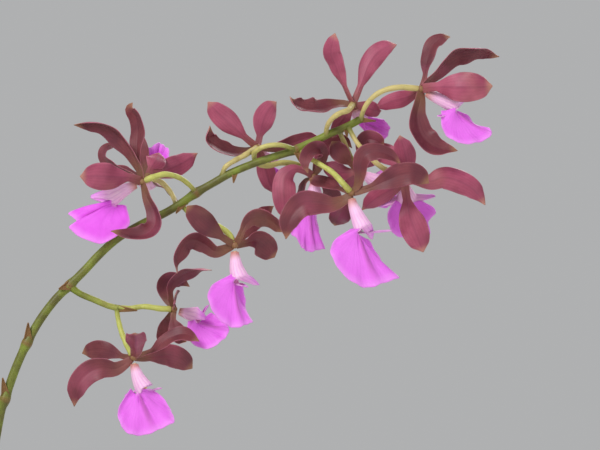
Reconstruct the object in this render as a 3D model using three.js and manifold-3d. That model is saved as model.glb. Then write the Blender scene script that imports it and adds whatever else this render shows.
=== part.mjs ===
// A cockleshell orchid, Encyclia cordigera, in flower in a clay pot.
// Millimetres, +Z up, origin at the centre of the pot's base.
// The spray arches along +X, and the blooms are seen from -Y, so +Y is away from the viewer.
import * as THREE from 'three';
import { mergeVertices } from 'three/addons/utils/BufferGeometryUtils.js';
import Module from 'manifold-3d';

const wasm = await Module();
wasm.setup();

// Clearance between pieces that rest against each other, and how far fusing may move a surface.
const SEAT_GAP = 0.3;
const SMOOTHING = 0.09;

// Clay pot.
const POT_HEIGHT = 112;
const POT_BASE_RADIUS = 44;
const POT_TOP_RADIUS = 60;
const POT_WALL = 5;
const POT_FLOOR = 7;
const RIM_HEIGHT = 20;
const RIM_PROUD = 4;
const RIM_FLARE = 1;
const POT_SLIMMING = 2.5;
const POT_SIDES = 30;
const DRAIN_COUNT = 4;
const DRAIN_RADIUS = 4.5;
const DRAIN_RING_RADIUS = 22;

// Bark bed.
const BARK_TOP = 94;
const CHUNK_COUNT = 24;
const CHUNK_RADIUS = 7;

// Rhizome, roots and pseudobulbs, newest bulb first.
const RHIZOME_RADIUS = 3.4;
const RHIZOME_HEIGHT = BARK_TOP + SEAT_GAP + RHIZOME_RADIUS;
const ROOT_RADIUS = 1.4;
const ROOT_REACH = 25;
const ROOT_DEPTH = 12;
const ROOT_LIMIT = 50;
const ROOT_HOLE_MARGIN = 2;
const KNUCKLE_RADIUS = 3.2;
const BULB_SEAT = RHIZOME_HEIGHT + RHIZOME_RADIUS + SEAT_GAP;
const BULBS = [
  { x: 6, y: 0, height: 56, radius: 11 },
  { x: -14, y: -16, height: 54, radius: 10 },
  { x: -17, y: 14, height: 52, radius: 10 },
  { x: -36, y: -5, height: 48, radius: 9 },
  { x: -38, y: 20, height: 42, radius: 8 },
];

// Strap leaves, two on each bulb: heading in degrees from +X towards +Y, and how far the leaf
// leans from the vertical at its base and at its tip.
const LEAF_WIDTH = 24;
const LEAF_THICKNESS = 1;
const LEAF_FOLD_BASE = 0.08;
const LEAF_FOLD_FULL = 0.5;
const LEAF_UNFOLDING = 0.2;
const LEAVES = [
  { bulb: 0, heading: -66, length: 215, leanBase: 38, leanTip: 118 },
  { bulb: 0, heading: 78, length: 225, leanBase: 34, leanTip: 112 },
  { bulb: 1, heading: -112, length: 235, leanBase: 22, leanTip: 104 },
  { bulb: 1, heading: -30, length: 190, leanBase: 56, leanTip: 132 },
  { bulb: 2, heading: 42, length: 200, leanBase: 54, leanTip: 128 },
  { bulb: 2, heading: 126, length: 240, leanBase: 20, leanTip: 92 },
  { bulb: 3, heading: -88, length: 230, leanBase: 34, leanTip: 100 },
  { bulb: 3, heading: 178, length: 205, leanBase: 18, leanTip: 70 },
  { bulb: 4, heading: 172, length: 185, leanBase: 40, leanTip: 114 },
  { bulb: 4, heading: 74, length: 170, leanBase: 46, leanTip: 124 },
];

// Flower stalk. Stations are [x, z, y] in millimetres, as are all the points of the spray.
const PEDUNCLE_RADIUS = 2;
const RACHIS_RADIUS = 1.5;
const BRANCH_RADIUS = 1.3;
const STEM = [
  [6, 158.4, 0], [9, 187, 0], [13.5, 222, 0], [18.5, 258, 0], [22, 279, 0], [24, 285.4, 0],
  [28, 297, 0], [32.8, 307.8, 0], [38, 317, 0], [44, 325, 0], [50, 331, 0], [56, 337, 0],
  [62, 343.4, 0], [69, 349.6, 0], [78, 355, 0], [88, 359.8, 0], [94, 363.4, 0],
  [100.4, 367.8, 0], [108, 372.2, 0], [114, 375.6, 0], [122, 379, 0], [130, 381.8, 0],
  [136, 383.6, 0], [140.8, 385.2, 0], [145, 387.4, 0], [150, 389.6, 0], [154, 391.6, 0],
  [158, 393.2, 0], [162, 395, 0], [166, 397.2, 0],
];
const SIDE_BRANCH = [[50, 330.6, 0], [54, 327.6, -0.5], [60, 325, -1], [65.2, 322.8, -1], [69, 321.8, -1]];
const STEM_NODES = [[24, 285.4, 0], [32.8, 307.8, 0], [50, 330.8, 0], [100.4, 367.8, 0], [140.8, 385.2, 0]];
const NODE_RADIUS = 2.6;
const PEDICEL_RADIUS = 1.05;
const HEART_RADIUS = 1.7;

// Papery bracts and the dried stubs of fallen buds: root, tip, width at the root.
const BRACTS = [
  { root: [24.4, 286, -0.6], tip: [23.2, 294, -2.6], width: 4 },
  { root: [33.2, 308, -0.6], tip: [33.4, 316, -2.6], width: 4 },
  { root: [50.2, 331, -0.8], tip: [45.6, 329.4, -2.6], width: 4.4 },
  { root: [69, 321.6, -1], tip: [77, 320.8, -2.4], width: 3 },
  { root: [96, 364.6, 0], tip: [92.4, 359.6, -1.4], width: 3.4 },
  { root: [116, 376.2, 0], tip: [115.4, 371.8, -1.6], width: 2.8 },
  { root: [141, 385, -0.8], tip: [142.4, 379.6, -2.4], width: 4 },
  { root: [160.4, 394.4, 0], tip: [160.8, 390, -1.6], width: 2.8 },
  { root: [166, 397, 0], tip: [172.4, 396.6, -0.4], width: 2.4 },
];

// Blooms. Each heart is [x, z, y] in the part's frame, and a bloom's other points count from it.
// The pedicel's stations are in the part's frame, and run from the stalk to just short of the heart.
// A tepal has its width, its shape, how far its edges curl up, its roll at base and tip in degrees
// (0 turns the inner face to -Y, and 90 turns it to the right of a walker along the tepal),
// and its spine. The lip's tubular base is a sleeve around the column, open on the side `open`.
// `lobes` are the tips of the sleeve's two side lobes. `rim` goes around the lip's blade in nine
// stations: the near shoulder, the near side, the notch in the middle, the far side, the far shoulder.
const BLOOMS = [
  {
    heart: [79.2, 372.2, -12],
    pedicel: [[100.4, 368, 0], [97.6, 371.2, -4], [93.6, 374, -8], [88.4, 375.2, -11], [83.6, 374, -12.4]],
    tepals: [
      { shape: 'sepal', width: 10, cup: 0.9, roll: [-48, -56],
        spine: [[-1.2, 5.6, 0], [-4.8, 12.8, 0], [-10, 18.8, 1], [-15.6, 22.2, 1], [-21.2, 23.2, 2],
          [-27.2, 22.6, 2]] },
      { shape: 'petal', width: 8.5, cup: 0.4, roll: [-36, -50],
        spine: [[-1.4, 6.8, 2], [-2, 13.6, 4], [-1.6, 20, 6], [-2.4, 25.6, 7], [-4.8, 29.2, 7],
          [-4, 31.6, 6]] },
      { shape: 'petal', width: 7, cup: 0.3, roll: [-50, -60],
        spine: [[-5.2, 3.6, 5], [-11.2, 5.8, 9], [-15.2, 8.8, 11], [-15.6, 12, 12], [-13.6, 14.2, 13],
          [-10.4, 15, 14]] },
      { shape: 'petal', width: 11.5, cup: 0.4, roll: [180, 180],
        spine: [[-4.8, 1.6, -5], [-10.4, 1.8, -9], [-14.4, 2, -12], [-19.2, 2, -14], [-24, 2, -15]] },
      { shape: 'sepal', width: 9.5, cup: 0.8, roll: [40, 46],
        spine: [[2.2, -6, -3], [5.2, -12, -5], [5.6, -16.8, -7], [2.8, -20.4, -9], [-2.8, -21.6, -10],
          [-12, -19.6, -11]] },
    ],
    column: [[-4.4, -1.8, 0], [-8.8, -4, 0], [-12.4, -6.2, 0]], open: [-0.5, 1, 0.9],
    rim: [[-6.4, -9.2, -1.5], [-5.2, -17.6, -5], [-15.6, -24.4, -7], [-28.4, -19.2, -5],
      [-26, -16, -2],
      [-29.2, -12.4, 1], [-23.6, -11.2, 3], [-18, -9.6, 4], [-14.4, -7.6, 3]],
    lobes: [[-20.8, -5.6, -2.5], [-19.5, -6.5, 6]],
  },
  {
    heart: [80.8, 374.6, 12],
    pedicel: [[92.4, 362.8, 1], [90.8, 367, 5.4], [86.8, 371.8, 7.4]],
    tepals: [
      { shape: 'sepal', width: 9, cup: 0.4, roll: [180, 180],
        spine: [[3.6, 1.2, 3], [8.4, 3.2, 8], [13.6, 5.6, 13], [19.6, 9.6, 16]] },
      { shape: 'petal', width: 9, cup: 0.5, roll: [180, 180],
        spine: [[1.2, 3.4, 2], [2.8, 6, 4], [3.8, 8, 7], [4.2, 9.6, 9]] },
      { shape: 'sepal', width: 6, cup: 0.3, roll: [84, 84],
        spine: [[3.2, -3, 3], [6.8, -4.8, 8], [9.8, -7.8, 12], [12.8, -11.4, 15]] },
      { shape: 'sepal', width: 7, cup: 0.3, roll: [10, 0],
        spine: [[-2, 5, 4], [-3.2, 9.8, 8], [-4.4, 14.6, 12], [-5.4, 19.4, 15]] },
      { shape: 'petal', width: 8, cup: 0.3, roll: [0, 0],
        spine: [[-5, 0.6, 6], [-10, 1, 13], [-15, 0.6, 19], [-18, 0.2, 24]] },
    ],
    column: [[-0.6, -1, 5], [-0.4, -1.6, 10]], open: [0, 1, 0.2],
    rim: [[-1.6, 3.2, 8], [-2, 7.2, 11], [-1.6, 10.4, 14], [1.2, 12.4, 17],
      [4.4, 13.6, 20],
      [7.6, 11.6, 19], [8, 8.4, 15], [7.2, 5.2, 12], [4.4, 3.2, 9]],
    lobes: [[-4.4, 1, 15], [4, 1, 15]],
  },
  {
    heart: [124.8, 386.2, 8],
    pedicel: [[110.8, 374.8, 0], [112.2, 378.2, -1.5], [116, 380.8, -2], [119.4, 382.6, -0.6],
      [121.6, 384, 1.8]],
    tepals: [
      { shape: 'petal', width: 9.5, cup: 0.5, roll: [180, 172],
        spine: [[-4.4, 3.6, -3], [-8.4, 7.2, -6], [-12.4, 10.8, -8], [-16.4, 14.4, -9], [-19.6, 18, -9]] },
      { shape: 'sepal', width: 9.5, cup: 0.9, roll: [48, 54],
        spine: [[-4.4, -1.8, 1], [-10.4, -2.4, -2], [-16, -0.2, -6], [-19.6, 3.6, -8], [-18.8, 8.4, -10]] },
      { shape: 'petal', width: 9, cup: 0.3, roll: [180, 180],
        spine: [[0.8, 3.6, 4], [1.6, 8, 8], [2.8, 12.4, 12], [4.8, 16, 15], [7.6, 18.8, 17]] },
      { shape: 'sepal', width: 7.5, cup: 0.5, roll: [180, 180],
        spine: [[1.6, -4.4, 2], [3.2, -8.6, 4], [4.6, -13.4, 6], [6.8, -18.6, 8]] },
      { shape: 'sepal', width: 6, cup: 0.3, roll: [20, 0],
        spine: [[4.4, -0.4, 1], [10.4, 0.6, 3], [16.4, 2.6, 5], [21.2, 4, 6], [26, 3.2, 6]] },
    ],
    column: [[1.8, -2.2, 5.4], [4.4, -4.4, 10.4]], open: [0.3, 1, 0.2],
    rim: [[2.8, -8.4, 10], [2.8, -10.4, 13], [5.2, -12.8, 14], [8.8, -14.8, 15],
      [12, -14.8, 15],
      [14.4, -14, 16], [14, -11.6, 16], [10.4, -10, 14], [6.8, -8, 11]],
    lobes: [[1, 1, 15], [10.6, 0.8, 14]],
  },
  {
    heart: [147.6, 374.6, 6],
    pedicel: [[139.6, 385.2, -1], [136, 386.6, -3.4], [132, 387, -4.4], [128, 386.4, -4.4], [125, 385, -3],
      [123.6, 383.4, 0.6], [124.6, 380, 4.4], [129, 378.8, 6.4], [135.2, 380, 7], [142, 378.8, 7]],
    tepals: [
      { shape: 'petal', width: 10, cup: 0.4, roll: [180, 180],
        spine: [[-3.6, 2, -3], [-8, 2.8, -5], [-11.6, -0.4, -6], [-12, -5.6, -7], [-11.6, -11.4, -7],
          [-10.4, -17.4, -6]] },
      { shape: 'sepal', width: 7, cup: 0.6, roll: [20, 20],
        spine: [[2, 3.4, -2], [3.2, 8, -4], [1.6, 10.6, -9], [-2, 9, -14], [-3.4, 5, -17],
          [-2.4, 1, -17]] },
      { shape: 'petal', width: 8, cup: 0.3, roll: [0, 0],
        spine: [[3.2, -2.6, 2], [6, -5.6, 5], [7.6, -9.8, 8], [7, -14.2, 11]] },
      { shape: 'sepal', width: 6, cup: 0.3, roll: [60, 60],
        spine: [[-3.2, -2, 1], [-4.6, -5.2, 3], [-5.8, -8.8, 6], [-8, -12.2, 9]] },
      { shape: 'sepal', width: 6.5, cup: 0.5, roll: [-10, 10],
        spine: [[1.6, 5.6, 4], [4, 10.6, 8], [7.8, 14, 10], [12.4, 14.4, 10], [15.4, 11.4, 9]] },
    ],
    column: [[0.2, -5, 0], [0.2, -9.6, 0]], open: [0.6, 0.2, 1],
    rim: [[-3.6, -12, -2], [-8.8, -21.2, -4], [-6.8, -25.6, -4], [-4, -29.6, -4],
      [0, -30, -3],
      [4, -28.8, -1], [2.8, -24.8, 2], [1.2, -19.6, 4], [0.8, -12.8, 3]],
    lobes: [[5, -14, 4], [-4.6, -14, -1]],
  },
  {
    heart: [162.4, 367.8, -13],
    pedicel: [[142.6, 384.4, -0.8], [145.6, 381.8, -4.6], [149.6, 379.4, -7], [154.8, 376, -10.4],
      [158.8, 371.8, -15]],
    tepals: [
      { shape: 'sepal', width: 10.5, cup: 0.6, roll: [20, 0],
        spine: [[-2.8, -2.8, 0], [-7.6, -4.8, -1], [-13.2, -4.4, -2], [-18.8, -4.6, -3],
          [-22.8, -7.8, -3], [-25.2, -12.6, -3], [-26, -18.4, -2]] },
      { shape: 'petal', width: 7, cup: 0.4, roll: [30, 40],
        spine: [[-4, 1.4, 3], [-8.4, 3.2, 8], [-12.6, 4.6, 12], [-16.8, 5.6, 15]] },
      { shape: 'sepal', width: 9, cup: 0.4, roll: [0, 0],
        spine: [[-2, -4, 5], [-3.8, -7.6, 10], [-5.4, -10.4, 15], [-6.6, -13, 19]] },
      { shape: 'sepal', width: 8, cup: 0.6, roll: [-20, -30],
        spine: [[2.4, 2.8, -1], [3.6, 7.2, -2], [4, 11.6, -3], [6, 15, -4], [10.8, 16, -4],
          [15.6, 14.4, -4], [19.6, 11.4, -3]] },
      { shape: 'petal', width: 10, cup: 0.5, roll: [-10, 0],
        spine: [[3.6, 0.8, -1], [8.4, 2.4, -2], [14, 4.8, -3], [19.6, 7, -3], [25.2, 7.4, -3],
          [30.8, 3.8, -2]] },
    ],
    column: [[0.8, -4.8, -1], [2.8, -9.6, -2], [5, -14.2, -3]], open: [0.9, 0.35, 0.8],
    rim: [[-0.4, -14.4, -3], [-7.2, -19.6, -8], [-6.8, -28, -10], [2.4, -36.8, -10],
      [10.8, -36.4, -8],
      [18.4, -33.6, -4], [14, -29.6, 0], [10, -24.4, 2], [7.2, -18.4, 0]],
    lobes: [[16.6, -14.8, -1], [9, -18, 4]],
  },
  {
    heart: [183.6, 372.6, -4],
    pedicel: [[161.4, 394, -0.8], [164.6, 388.2, -2.6], [168, 384.2, -3.6], [172.8, 379.4, -6],
      [178.2, 375.8, -8]],
    tepals: [
      { shape: 'sepal', width: 10, cup: 0.6, roll: [160, 180],
        spine: [[4.4, 0.4, 0], [10.4, -0.2, 0], [15.2, 1.4, 0], [20.8, 0.4, 0], [26.4, -2.4, 0],
          [30, -6, 1], [32.4, -9.6, 1]] },
      { shape: 'petal', width: 11.5, cup: 0.4, roll: [180, 180],
        spine: [[0.4, -3.6, -1], [1.2, -8.4, -2], [2, -13.2, -3], [3.6, -18, -3], [5.6, -23.2, -3],
          [7.6, -28.4, -2]] },
      { shape: 'sepal', width: 8, cup: 0.5, roll: [180, 160],
        spine: [[-3.2, -2.6, 2], [-7.6, -4.8, 5], [-11.8, -7.4, 8], [-16.8, -11.6, 11]] },
      { shape: 'sepal', width: 9, cup: 0.5, roll: [180, 180],
        spine: [[1, 3.6, -2], [0.6, 8.4, -5], [-0.6, 13.2, -8], [-2, 18, -10]] },
      { shape: 'petal', width: 8.5, cup: 0.3, roll: [180, 180],
        spine: [[-1.4, 5, 2], [-4.4, 9.2, 5], [-8.2, 11.4, 9], [-13, 12, 13]] },
    ],
    column: [[0.4, -3, 4], [1, -6.4, 7.6]], open: [0, 0.7, 0.9],
    rim: [[-3.6, -7.6, 5], [-6.4, -13.2, 6], [-5.2, -19.6, 8], [-0.4, -22.8, 9],
      [5.6, -23.6, 11],
      [10.4, -20.8, 10], [10, -16.4, 8], [12.8, -11.6, 7], [7.2, -8, 5]],
    lobes: [[-11.4, -9.6, 12], [12.8, -5.6, 10]],
  },
  {
    heart: [163.2, 403.4, 2],
    pedicel: [[152.4, 390.6, 0], [152.8, 394.2, -3], [154.8, 397.4, -6.4], [158, 399.6, -8],
      [161.2, 400.8, -5.6]],
    tepals: [
      { shape: 'petal', width: 8.5, cup: 0.5, roll: [130, 160],
        spine: [[-2.8, 5.6, -1], [-5.2, 11.2, -2], [-7.2, 16, -3], [-8.8, 19.8, -4], [-8.4, 23.8, -5],
          [-7.2, 28.2, -6]] },
      { shape: 'petal', width: 9, cup: 0.7, roll: [180, 170],
        spine: [[2, 4.8, 1], [4, 10, 2], [6, 15.2, 3], [8.8, 19.6, 4], [12.8, 22.8, 5], [17.6, 24, 6]] },
      { shape: 'sepal', width: 10.5, cup: 0.9, roll: [48, 56],
        spine: [[-4.2, 0, 0.4], [-9.4, -1.2, -2], [-14.8, -2.4, -5], [-20.4, -1.6, -7],
          [-24, 0.4, -8], [-25.2, 2.8, -8]] },
      { shape: 'sepal', width: 6.5, cup: 0.4, roll: [180, 180],
        spine: [[-2, -3.4, 1], [-4.4, -6.8, 3], [-6.4, -10.2, 5], [-8.4, -13.4, 6]] },
      { shape: 'sepal', width: 6.5, cup: 0.5, roll: [180, 180],
        spine: [[4.4, -1, 1], [7.6, -2, 2], [9.8, -2.6, 4], [11.4, -2.6, 6]] },
    ],
    column: [[1.4, -1.4, 5], [3.2, -3, 10]], open: [1, 0.6, 0.3],
    rim: [[4.4, -6.8, 12], [5.6, -10.4, 14], [8.4, -14, 16], [11.6, -15.8, 17],
      [14.4, -11.6, 18],
      [14.8, -8.8, 17], [13.2, -6.4, 16], [10.8, -5.6, 14], [7.2, -5.2, 12]],
    lobes: [[8, 1, 14], [6, 0, 16]],
  },
  {
    heart: [190.4, 409.4, -3],
    pedicel: [[166.2, 396.6, 0], [167.2, 400.4, -1], [169.2, 404, -2.4], [172.6, 407.2, -3.4],
      [177, 409.2, -4], [182, 410, -4], [185.6, 409.8, -3.6]],
    tepals: [
      { shape: 'petal', width: 8, cup: 0.5, roll: [-36, -44],
        spine: [[1.6, 4.8, 3], [2.4, 9.6, 6], [3.6, 14, 8], [5.6, 18, 10], [8.8, 20.6, 11],
          [12, 21.2, 12]] },
      { shape: 'sepal', width: 10.5, cup: 0.9, roll: [46, 54],
        spine: [[2.8, 2.8, 0], [6.4, 6.4, -1], [10, 10.8, -1], [14.4, 14, -1], [20, 15.2, -1],
          [25.6, 14.8, 0], [31.2, 12.8, 0]] },
      { shape: 'petal', width: 12.5, cup: 0.4, roll: [180, 180],
        spine: [[4.4, 0.6, -5], [9.6, 0.6, -9], [14, 0.4, -12], [19, 0.4, -13], [23.6, 0.4, -13],
          [28, 0.8, -13]] },
      { shape: 'sepal', width: 11, cup: 0.8, roll: [-24, -34],
        spine: [[-0.6, -4.8, -1], [-1.8, -10.4, -2], [-1.2, -16, -3], [1.6, -20.8, -4],
          [6.8, -24, -4], [14.4, -24.8, -4]] },
      { shape: 'sepal', width: 7, cup: 0.4, roll: [180, 180],
        spine: [[-3.2, -2.2, 4], [-7.6, -3.8, 8], [-12.4, -5, 12], [-18.4, -7.4, 15]] },
    ],
    column: [[4.4, -2.6, 0], [9.6, -4.6, 0], [14.6, -6.4, -0.4]], open: [0.5, 1, 0.8],
    rim: [[7.6, -9.2, -2], [8.4, -15.6, -5], [13.6, -21.4, -6], [22, -21.8, -5],
      [28, -18, -3],
      [26.4, -15.8, -1], [22, -14, 2], [18, -10.4, 4], [14, -8.4, 3]],
    lobes: [[6.6, -10.6, -4.5], [18, -4, 6]],
  },
  {
    heart: [116, 347, -8],
    pedicel: [[94.6, 363, 0], [98, 359.4, 0], [102.4, 357.4, -2.6], [106.8, 355.6, -5],
      [110.8, 353.8, -6.6], [114, 351, -7.4]],
    tepals: [
      { shape: 'petal', width: 9.5, cup: -0.3, roll: [0, 10],
        spine: [[-3.8, 2.4, -3], [-8, 5.6, -6], [-12, 9, -9], [-15.6, 12.4, -11], [-18.8, 15.6, -12]] },
      { shape: 'sepal', width: 9.5, cup: 0.6, roll: [-14, -70],
        spine: [[-2.8, -1.2, 0], [-7.6, -2.4, -1], [-11.6, 0.4, -2], [-16, 2.4, -3], [-20, 0.8, -4],
          [-22.4, -3.6, -5], [-23.2, -7.6, -5], [-22.8, -11.2, -4]] },
      { shape: 'petal', width: 9, cup: 0.4, roll: [0, 60],
        spine: [[2.2, 3.6, -2], [4, 7.6, -2], [6.8, 10.6, -2], [10.8, 11.2, -1], [14.8, 9.6, 0],
          [19.6, 5.2, 0]] },
      { shape: 'petal', width: 10.5, cup: 0.3, roll: [0, 0],
        spine: [[4.6, 0.8, 3], [8.6, 1.6, 7], [12, -0.8, 11], [15.8, -5, 14]] },
      { shape: 'sepal', width: 7, cup: 0.4, roll: [0, 0],
        spine: [[3, 4, 5], [6.8, 8.4, 10], [11, 12.4, 15], [15.4, 15.6, 19]] },
    ],
    column: [[0.3, -4.8, 0], [1, -9.4, -1], [2.4, -13.4, -2]], open: [0.9, 0.35, 0.8],
    rim: [[-1.6, -11.6, -3], [-9.2, -16.4, -7], [-9.6, -24.8, -9], [-2.8, -32, -9],
      [3.2, -32, -8],
      [6.8, -30.4, -4], [4.8, -26, -1], [3.8, -20.8, 1], [3.2, -15.6, 0]],
    lobes: [[5.8, -16.6, -5], [10.2, -16, 3]],
  },
  {
    heart: [91.6, 321.4, -2],
    pedicel: [[68, 322.2, -1], [74, 321.8, -1.2], [80, 322.4, -1.8], [86.2, 321.6, -2.6]],
    tepals: [
      { shape: 'petal', width: 8, cup: 0.5, roll: [0, 90],
        spine: [[-1.2, 4.4, -2], [-1.2, 8.8, -4], [1.2, 12.2, -5], [5.6, 14.8, -5], [10.4, 16, -5],
          [15.2, 15.6, -4]] },
      { shape: 'sepal', width: 7, cup: 0.5, roll: [0, 0],
        spine: [[-2.8, 4.2, 3], [-4, 8.4, 7], [-2, 11.4, 11], [2.4, 11, 14], [6, 8.8, 15]] },
      { shape: 'sepal', width: 6, cup: 0.3, roll: [90, 90],
        spine: [[0.4, 2.6, -5], [0.8, 4.4, -11], [1.2, 5.6, -17], [1, 5.8, -22]] },
      { shape: 'petal', width: 7.5, cup: 0.5, roll: [0, 0],
        spine: [[-0.2, -4.4, -1], [1, -8.2, -2], [2.8, -11, -3], [5, -13, -4]] },
      { shape: 'sepal', width: 7.5, cup: 0.3, roll: [0, 0],
        spine: [[-1.4, -4, 4], [-2.8, -8, 8], [-4.4, -11.4, 11], [-5.8, -14.6, 14]] },
    ],
    column: [[4.4, -1.2, -0.6], [9.4, -2, -1.4]], open: [0.1, 1, 0.5],
    rim: [[5.6, -5.2, -2], [5.6, -10.8, -5], [12.4, -16, -6], [19.6, -12.4, -6],
      [22, -7.6, -4],
      [20, -4.8, -1], [16.8, -2.4, 2], [14.4, -2, 3], [11.6, -4, 1]],
    lobes: [[14, 2.2, 4], [13, -3, -5]],
  },
  {
    heart: [75.6, 302.2, -6],
    pedicel: [[68.6, 322, -1], [69.4, 317, -1.6], [70.8, 312, -3], [73, 307, -4.8]],
    tepals: [
      { shape: 'sepal', width: 9.5, cup: 0.5, roll: [-10, 10],
        spine: [[-3.6, -2.8, 0], [-7.6, -4.6, -1], [-12.4, -4.2, -2], [-17.2, -5.6, -2],
          [-21.2, -9.6, -2], [-23.2, -14.8, -1], [-23.6, -19.6, 0]] },
      { shape: 'petal', width: 8, cup: 0.2, roll: [20, 0],
        spine: [[-4, 0.2, 4], [-8.8, 1.6, 8], [-13.6, 2.6, 12], [-17.6, 2.4, 15], [-21.2, 1.2, 17]] },
      { shape: 'sepal', width: 10, cup: 1.1, roll: [180, 180],
        spine: [[1, 2.4, -5], [1.2, 5, -11], [1.4, 7.8, -17], [1.4, 10.2, -22]] },
      { shape: 'petal', width: 7.5, cup: 0.5, roll: [-36, -44],
        spine: [[3.2, 1.2, -1], [7.6, 2.8, -3], [11.2, 5.4, -5], [15.2, 8, -6], [20.4, 9.2, -7],
          [26.4, 6.6, -7]] },
      { shape: 'petal', width: 9.5, cup: 0.2, roll: [0, 0],
        spine: [[4.4, -0.4, 3], [9.2, 0.2, 6], [14, 0.6, 9], [18.8, -1.2, 11], [23.2, -4.8, 13]] },
    ],
    column: [[0.8, -4.4, 0], [2.4, -8.6, -1], [4.8, -12.6, -2]], open: [0.9, 0.35, 0.8],
    rim: [[-1.2, -12.4, -3], [-5.6, -20, -6], [-4.8, -26.8, -8], [0.4, -30.8, -9],
      [8.8, -29.2, -7],
      [16, -25.6, -6], [15.2, -21.2, -3], [11.2, -15.6, -1], [6.8, -12.4, -1]],
    lobes: [[11.6, -12, 2], [-3, -15, 2]],
  },
  {
    heart: [165.2, 377, 6],
    pedicel: [[157.6, 392.8, 0.8], [159.2, 389.4, 7], [161.8, 383.6, 13.4], [163.8, 379.4, 13]],
    tepals: [
      { shape: 'petal', width: 8, cup: 0.5, roll: [0, 10],
        spine: [[1, 4.8, -1], [1.8, 9.2, -2], [3.6, 12.2, -3], [7.2, 11.8, -4], [10.4, 9.4, -4]] },
      { shape: 'petal', width: 8.5, cup: 0.8, roll: [0, 0],
        spine: [[-3, 2.8, -1], [-6, 5.6, -2], [-8.4, 8.4, -2], [-10.4, 11.6, -3]] },
      { shape: 'sepal', width: 7.5, cup: 0.4, roll: [180, 180],
        spine: [[-3.6, -1, 1], [-7.4, -0.8, 3], [-11, 1, 5], [-14, 3, 8]] },
      { shape: 'sepal', width: 8, cup: 0.4, roll: [180, 180],
        spine: [[-1, -4, 5], [-2.4, -7.4, 10], [-3.6, -10.4, 15]] },
      { shape: 'sepal', width: 7, cup: 0.4, roll: [180, 180],
        spine: [[3, 3, 5], [6, 5.4, 10], [10.4, 6.6, 13], [14.6, 8, 15]] },
    ],
    column: [[3.4, -1.6, 1], [6.6, -3, 2]], open: [0.2, 1, 0.1],
    rim: [[4.8, -8, 1], [6, -12, 2], [8.8, -14.8, 3], [12.8, -14.4, 4],
      [15.6, -9.2, 4],
      [14.8, -5.2, 5], [12, -2.4, 5], [10, -1.2, 5], [8, -2.8, 4]],
    lobes: [[11.4, 1.2, 3], [10, -7, -1]],
  },
];

// Tepals, columns and lips.
const TEPAL_THICKNESS = 0.7;
const TEPAL_ROWS = 5;
const SHORT_TEPAL_ROWS = 4;
const TEPAL_CELLS = 2;
const FRAME_STEPS = 48;
const COLUMN_RADIUS = 1.5;
const COLUMN_SHARE = 0.86;
const SLEEVE_THICKNESS = 0.6;
const SLEEVE_START = 0.2;
const SLEEVE_RADIUS_BASE = 1.9;
const SLEEVE_RADIUS_END = 3.9;
const SLEEVE_WRAP = 112;
const SLEEVE_ROWS = 2;
const MOUTH_STEP = 0.6;
const LOBE_MIDDLE = 0.72;
const LOBE_SPREAD = 0.7;
const LOBE_REACHES = [0.7, 1, 0, 0, 1, 0.7];
const LIP_SPAN = 38;
const LIP_SWELL = 1.4;
const LIP_SWELL_FADE = 0.6;
const LIP_SHOULDER = 0.125;
const LIP_ROWS = 2;
const LIP_CELLS = 6;

// Materials.
function finish(color, roughness) {
  return new THREE.MeshStandardMaterial({ color, roughness, metalness: 0 });
}
const CLAY = finish(0xb5653f, 0.85);
const BARK = finish(0x6b4630, 0.95);
const ROOT = finish(0xc9bfa2, 0.8);
const BULB = finish(0x7f8f45, 0.5);
const LEAF = finish(0x4f6e2c, 0.45);
const STALK = finish(0x84913d, 0.5);
const TEPAL = finish(0x7d3b4e, 0.55);
const LIP = finish(0xd97be6, 0.6);
const COLUMN = finish(0xf2cfe0, 0.5);

// Basic helpers.
function vector([x, z, y]) {
  return new THREE.Vector3(x, y, z);
}

function seededRandom(seed) {
  let state = seed;
  return () => {
    state = (state * 1664525 + 1013904223) >>> 0;
    return state / 4294967296;
  };
}

function closedGeometry(positions, triangles) {
  const geometry = new THREE.BufferGeometry();
  geometry.setAttribute('position', new THREE.Float32BufferAttribute(positions, 3));
  geometry.setIndex(triangles);
  return geometry;
}

function solidFrom(geometry) {
  const bare = geometry.clone();
  bare.deleteAttribute('normal');
  bare.deleteAttribute('uv');
  const merged = mergeVertices(bare, 1e-4);
  const triVerts = new Uint32Array(merged.index.array);
  const vertProperties = new Float32Array(merged.attributes.position.array);
  const solid = new wasm.Manifold(new wasm.Mesh({ numProp: 3, vertProperties, triVerts }));
  if (solid.volume() > 0) return solid;
  for (let i = 0; i < triVerts.length; i += 3) {
    [triVerts[i + 1], triVerts[i + 2]] = [triVerts[i + 2], triVerts[i + 1]];
  }
  return new wasm.Manifold(new wasm.Mesh({ numProp: 3, vertProperties, triVerts }));
}

function geometryFrom(solid) {
  const mesh = solid.getMesh();
  return closedGeometry(Array.from(mesh.vertProperties), Array.from(mesh.triVerts));
}

function fuse(solids) {
  const whole = solids.reduce((sum, piece) => sum.add(piece)).simplify(SMOOTHING);
  return whole.decompose().sort((a, b) => b.volume() - a.volume())[0];
}

const part = new THREE.Group();

function addNode(name, solid, material) {
  const mesh = new THREE.Mesh(geometryFrom(solid), material);
  mesh.name = name;
  part.add(mesh);
}

// A closed tube through rings of equal length, with a fan at each end.
function tubeFromRings(rings) {
  const sides = rings[0].length;
  const positions = [];
  rings.forEach((ring) => ring.forEach((p) => positions.push(p.x, p.y, p.z)));
  const triangles = [];
  for (let i = 0; i < rings.length - 1; i += 1) {
    for (let j = 0; j < sides; j += 1) {
      const a = i * sides + j;
      const b = i * sides + ((j + 1) % sides);
      triangles.push(a, b, b + sides, a, b + sides, a + sides);
    }
  }
  const last = (rings.length - 1) * sides;
  for (let j = 1; j < sides - 1; j += 1) {
    triangles.push(0, j + 1, j, last, last + j, last + j + 1);
  }
  return closedGeometry(positions, triangles);
}

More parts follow.
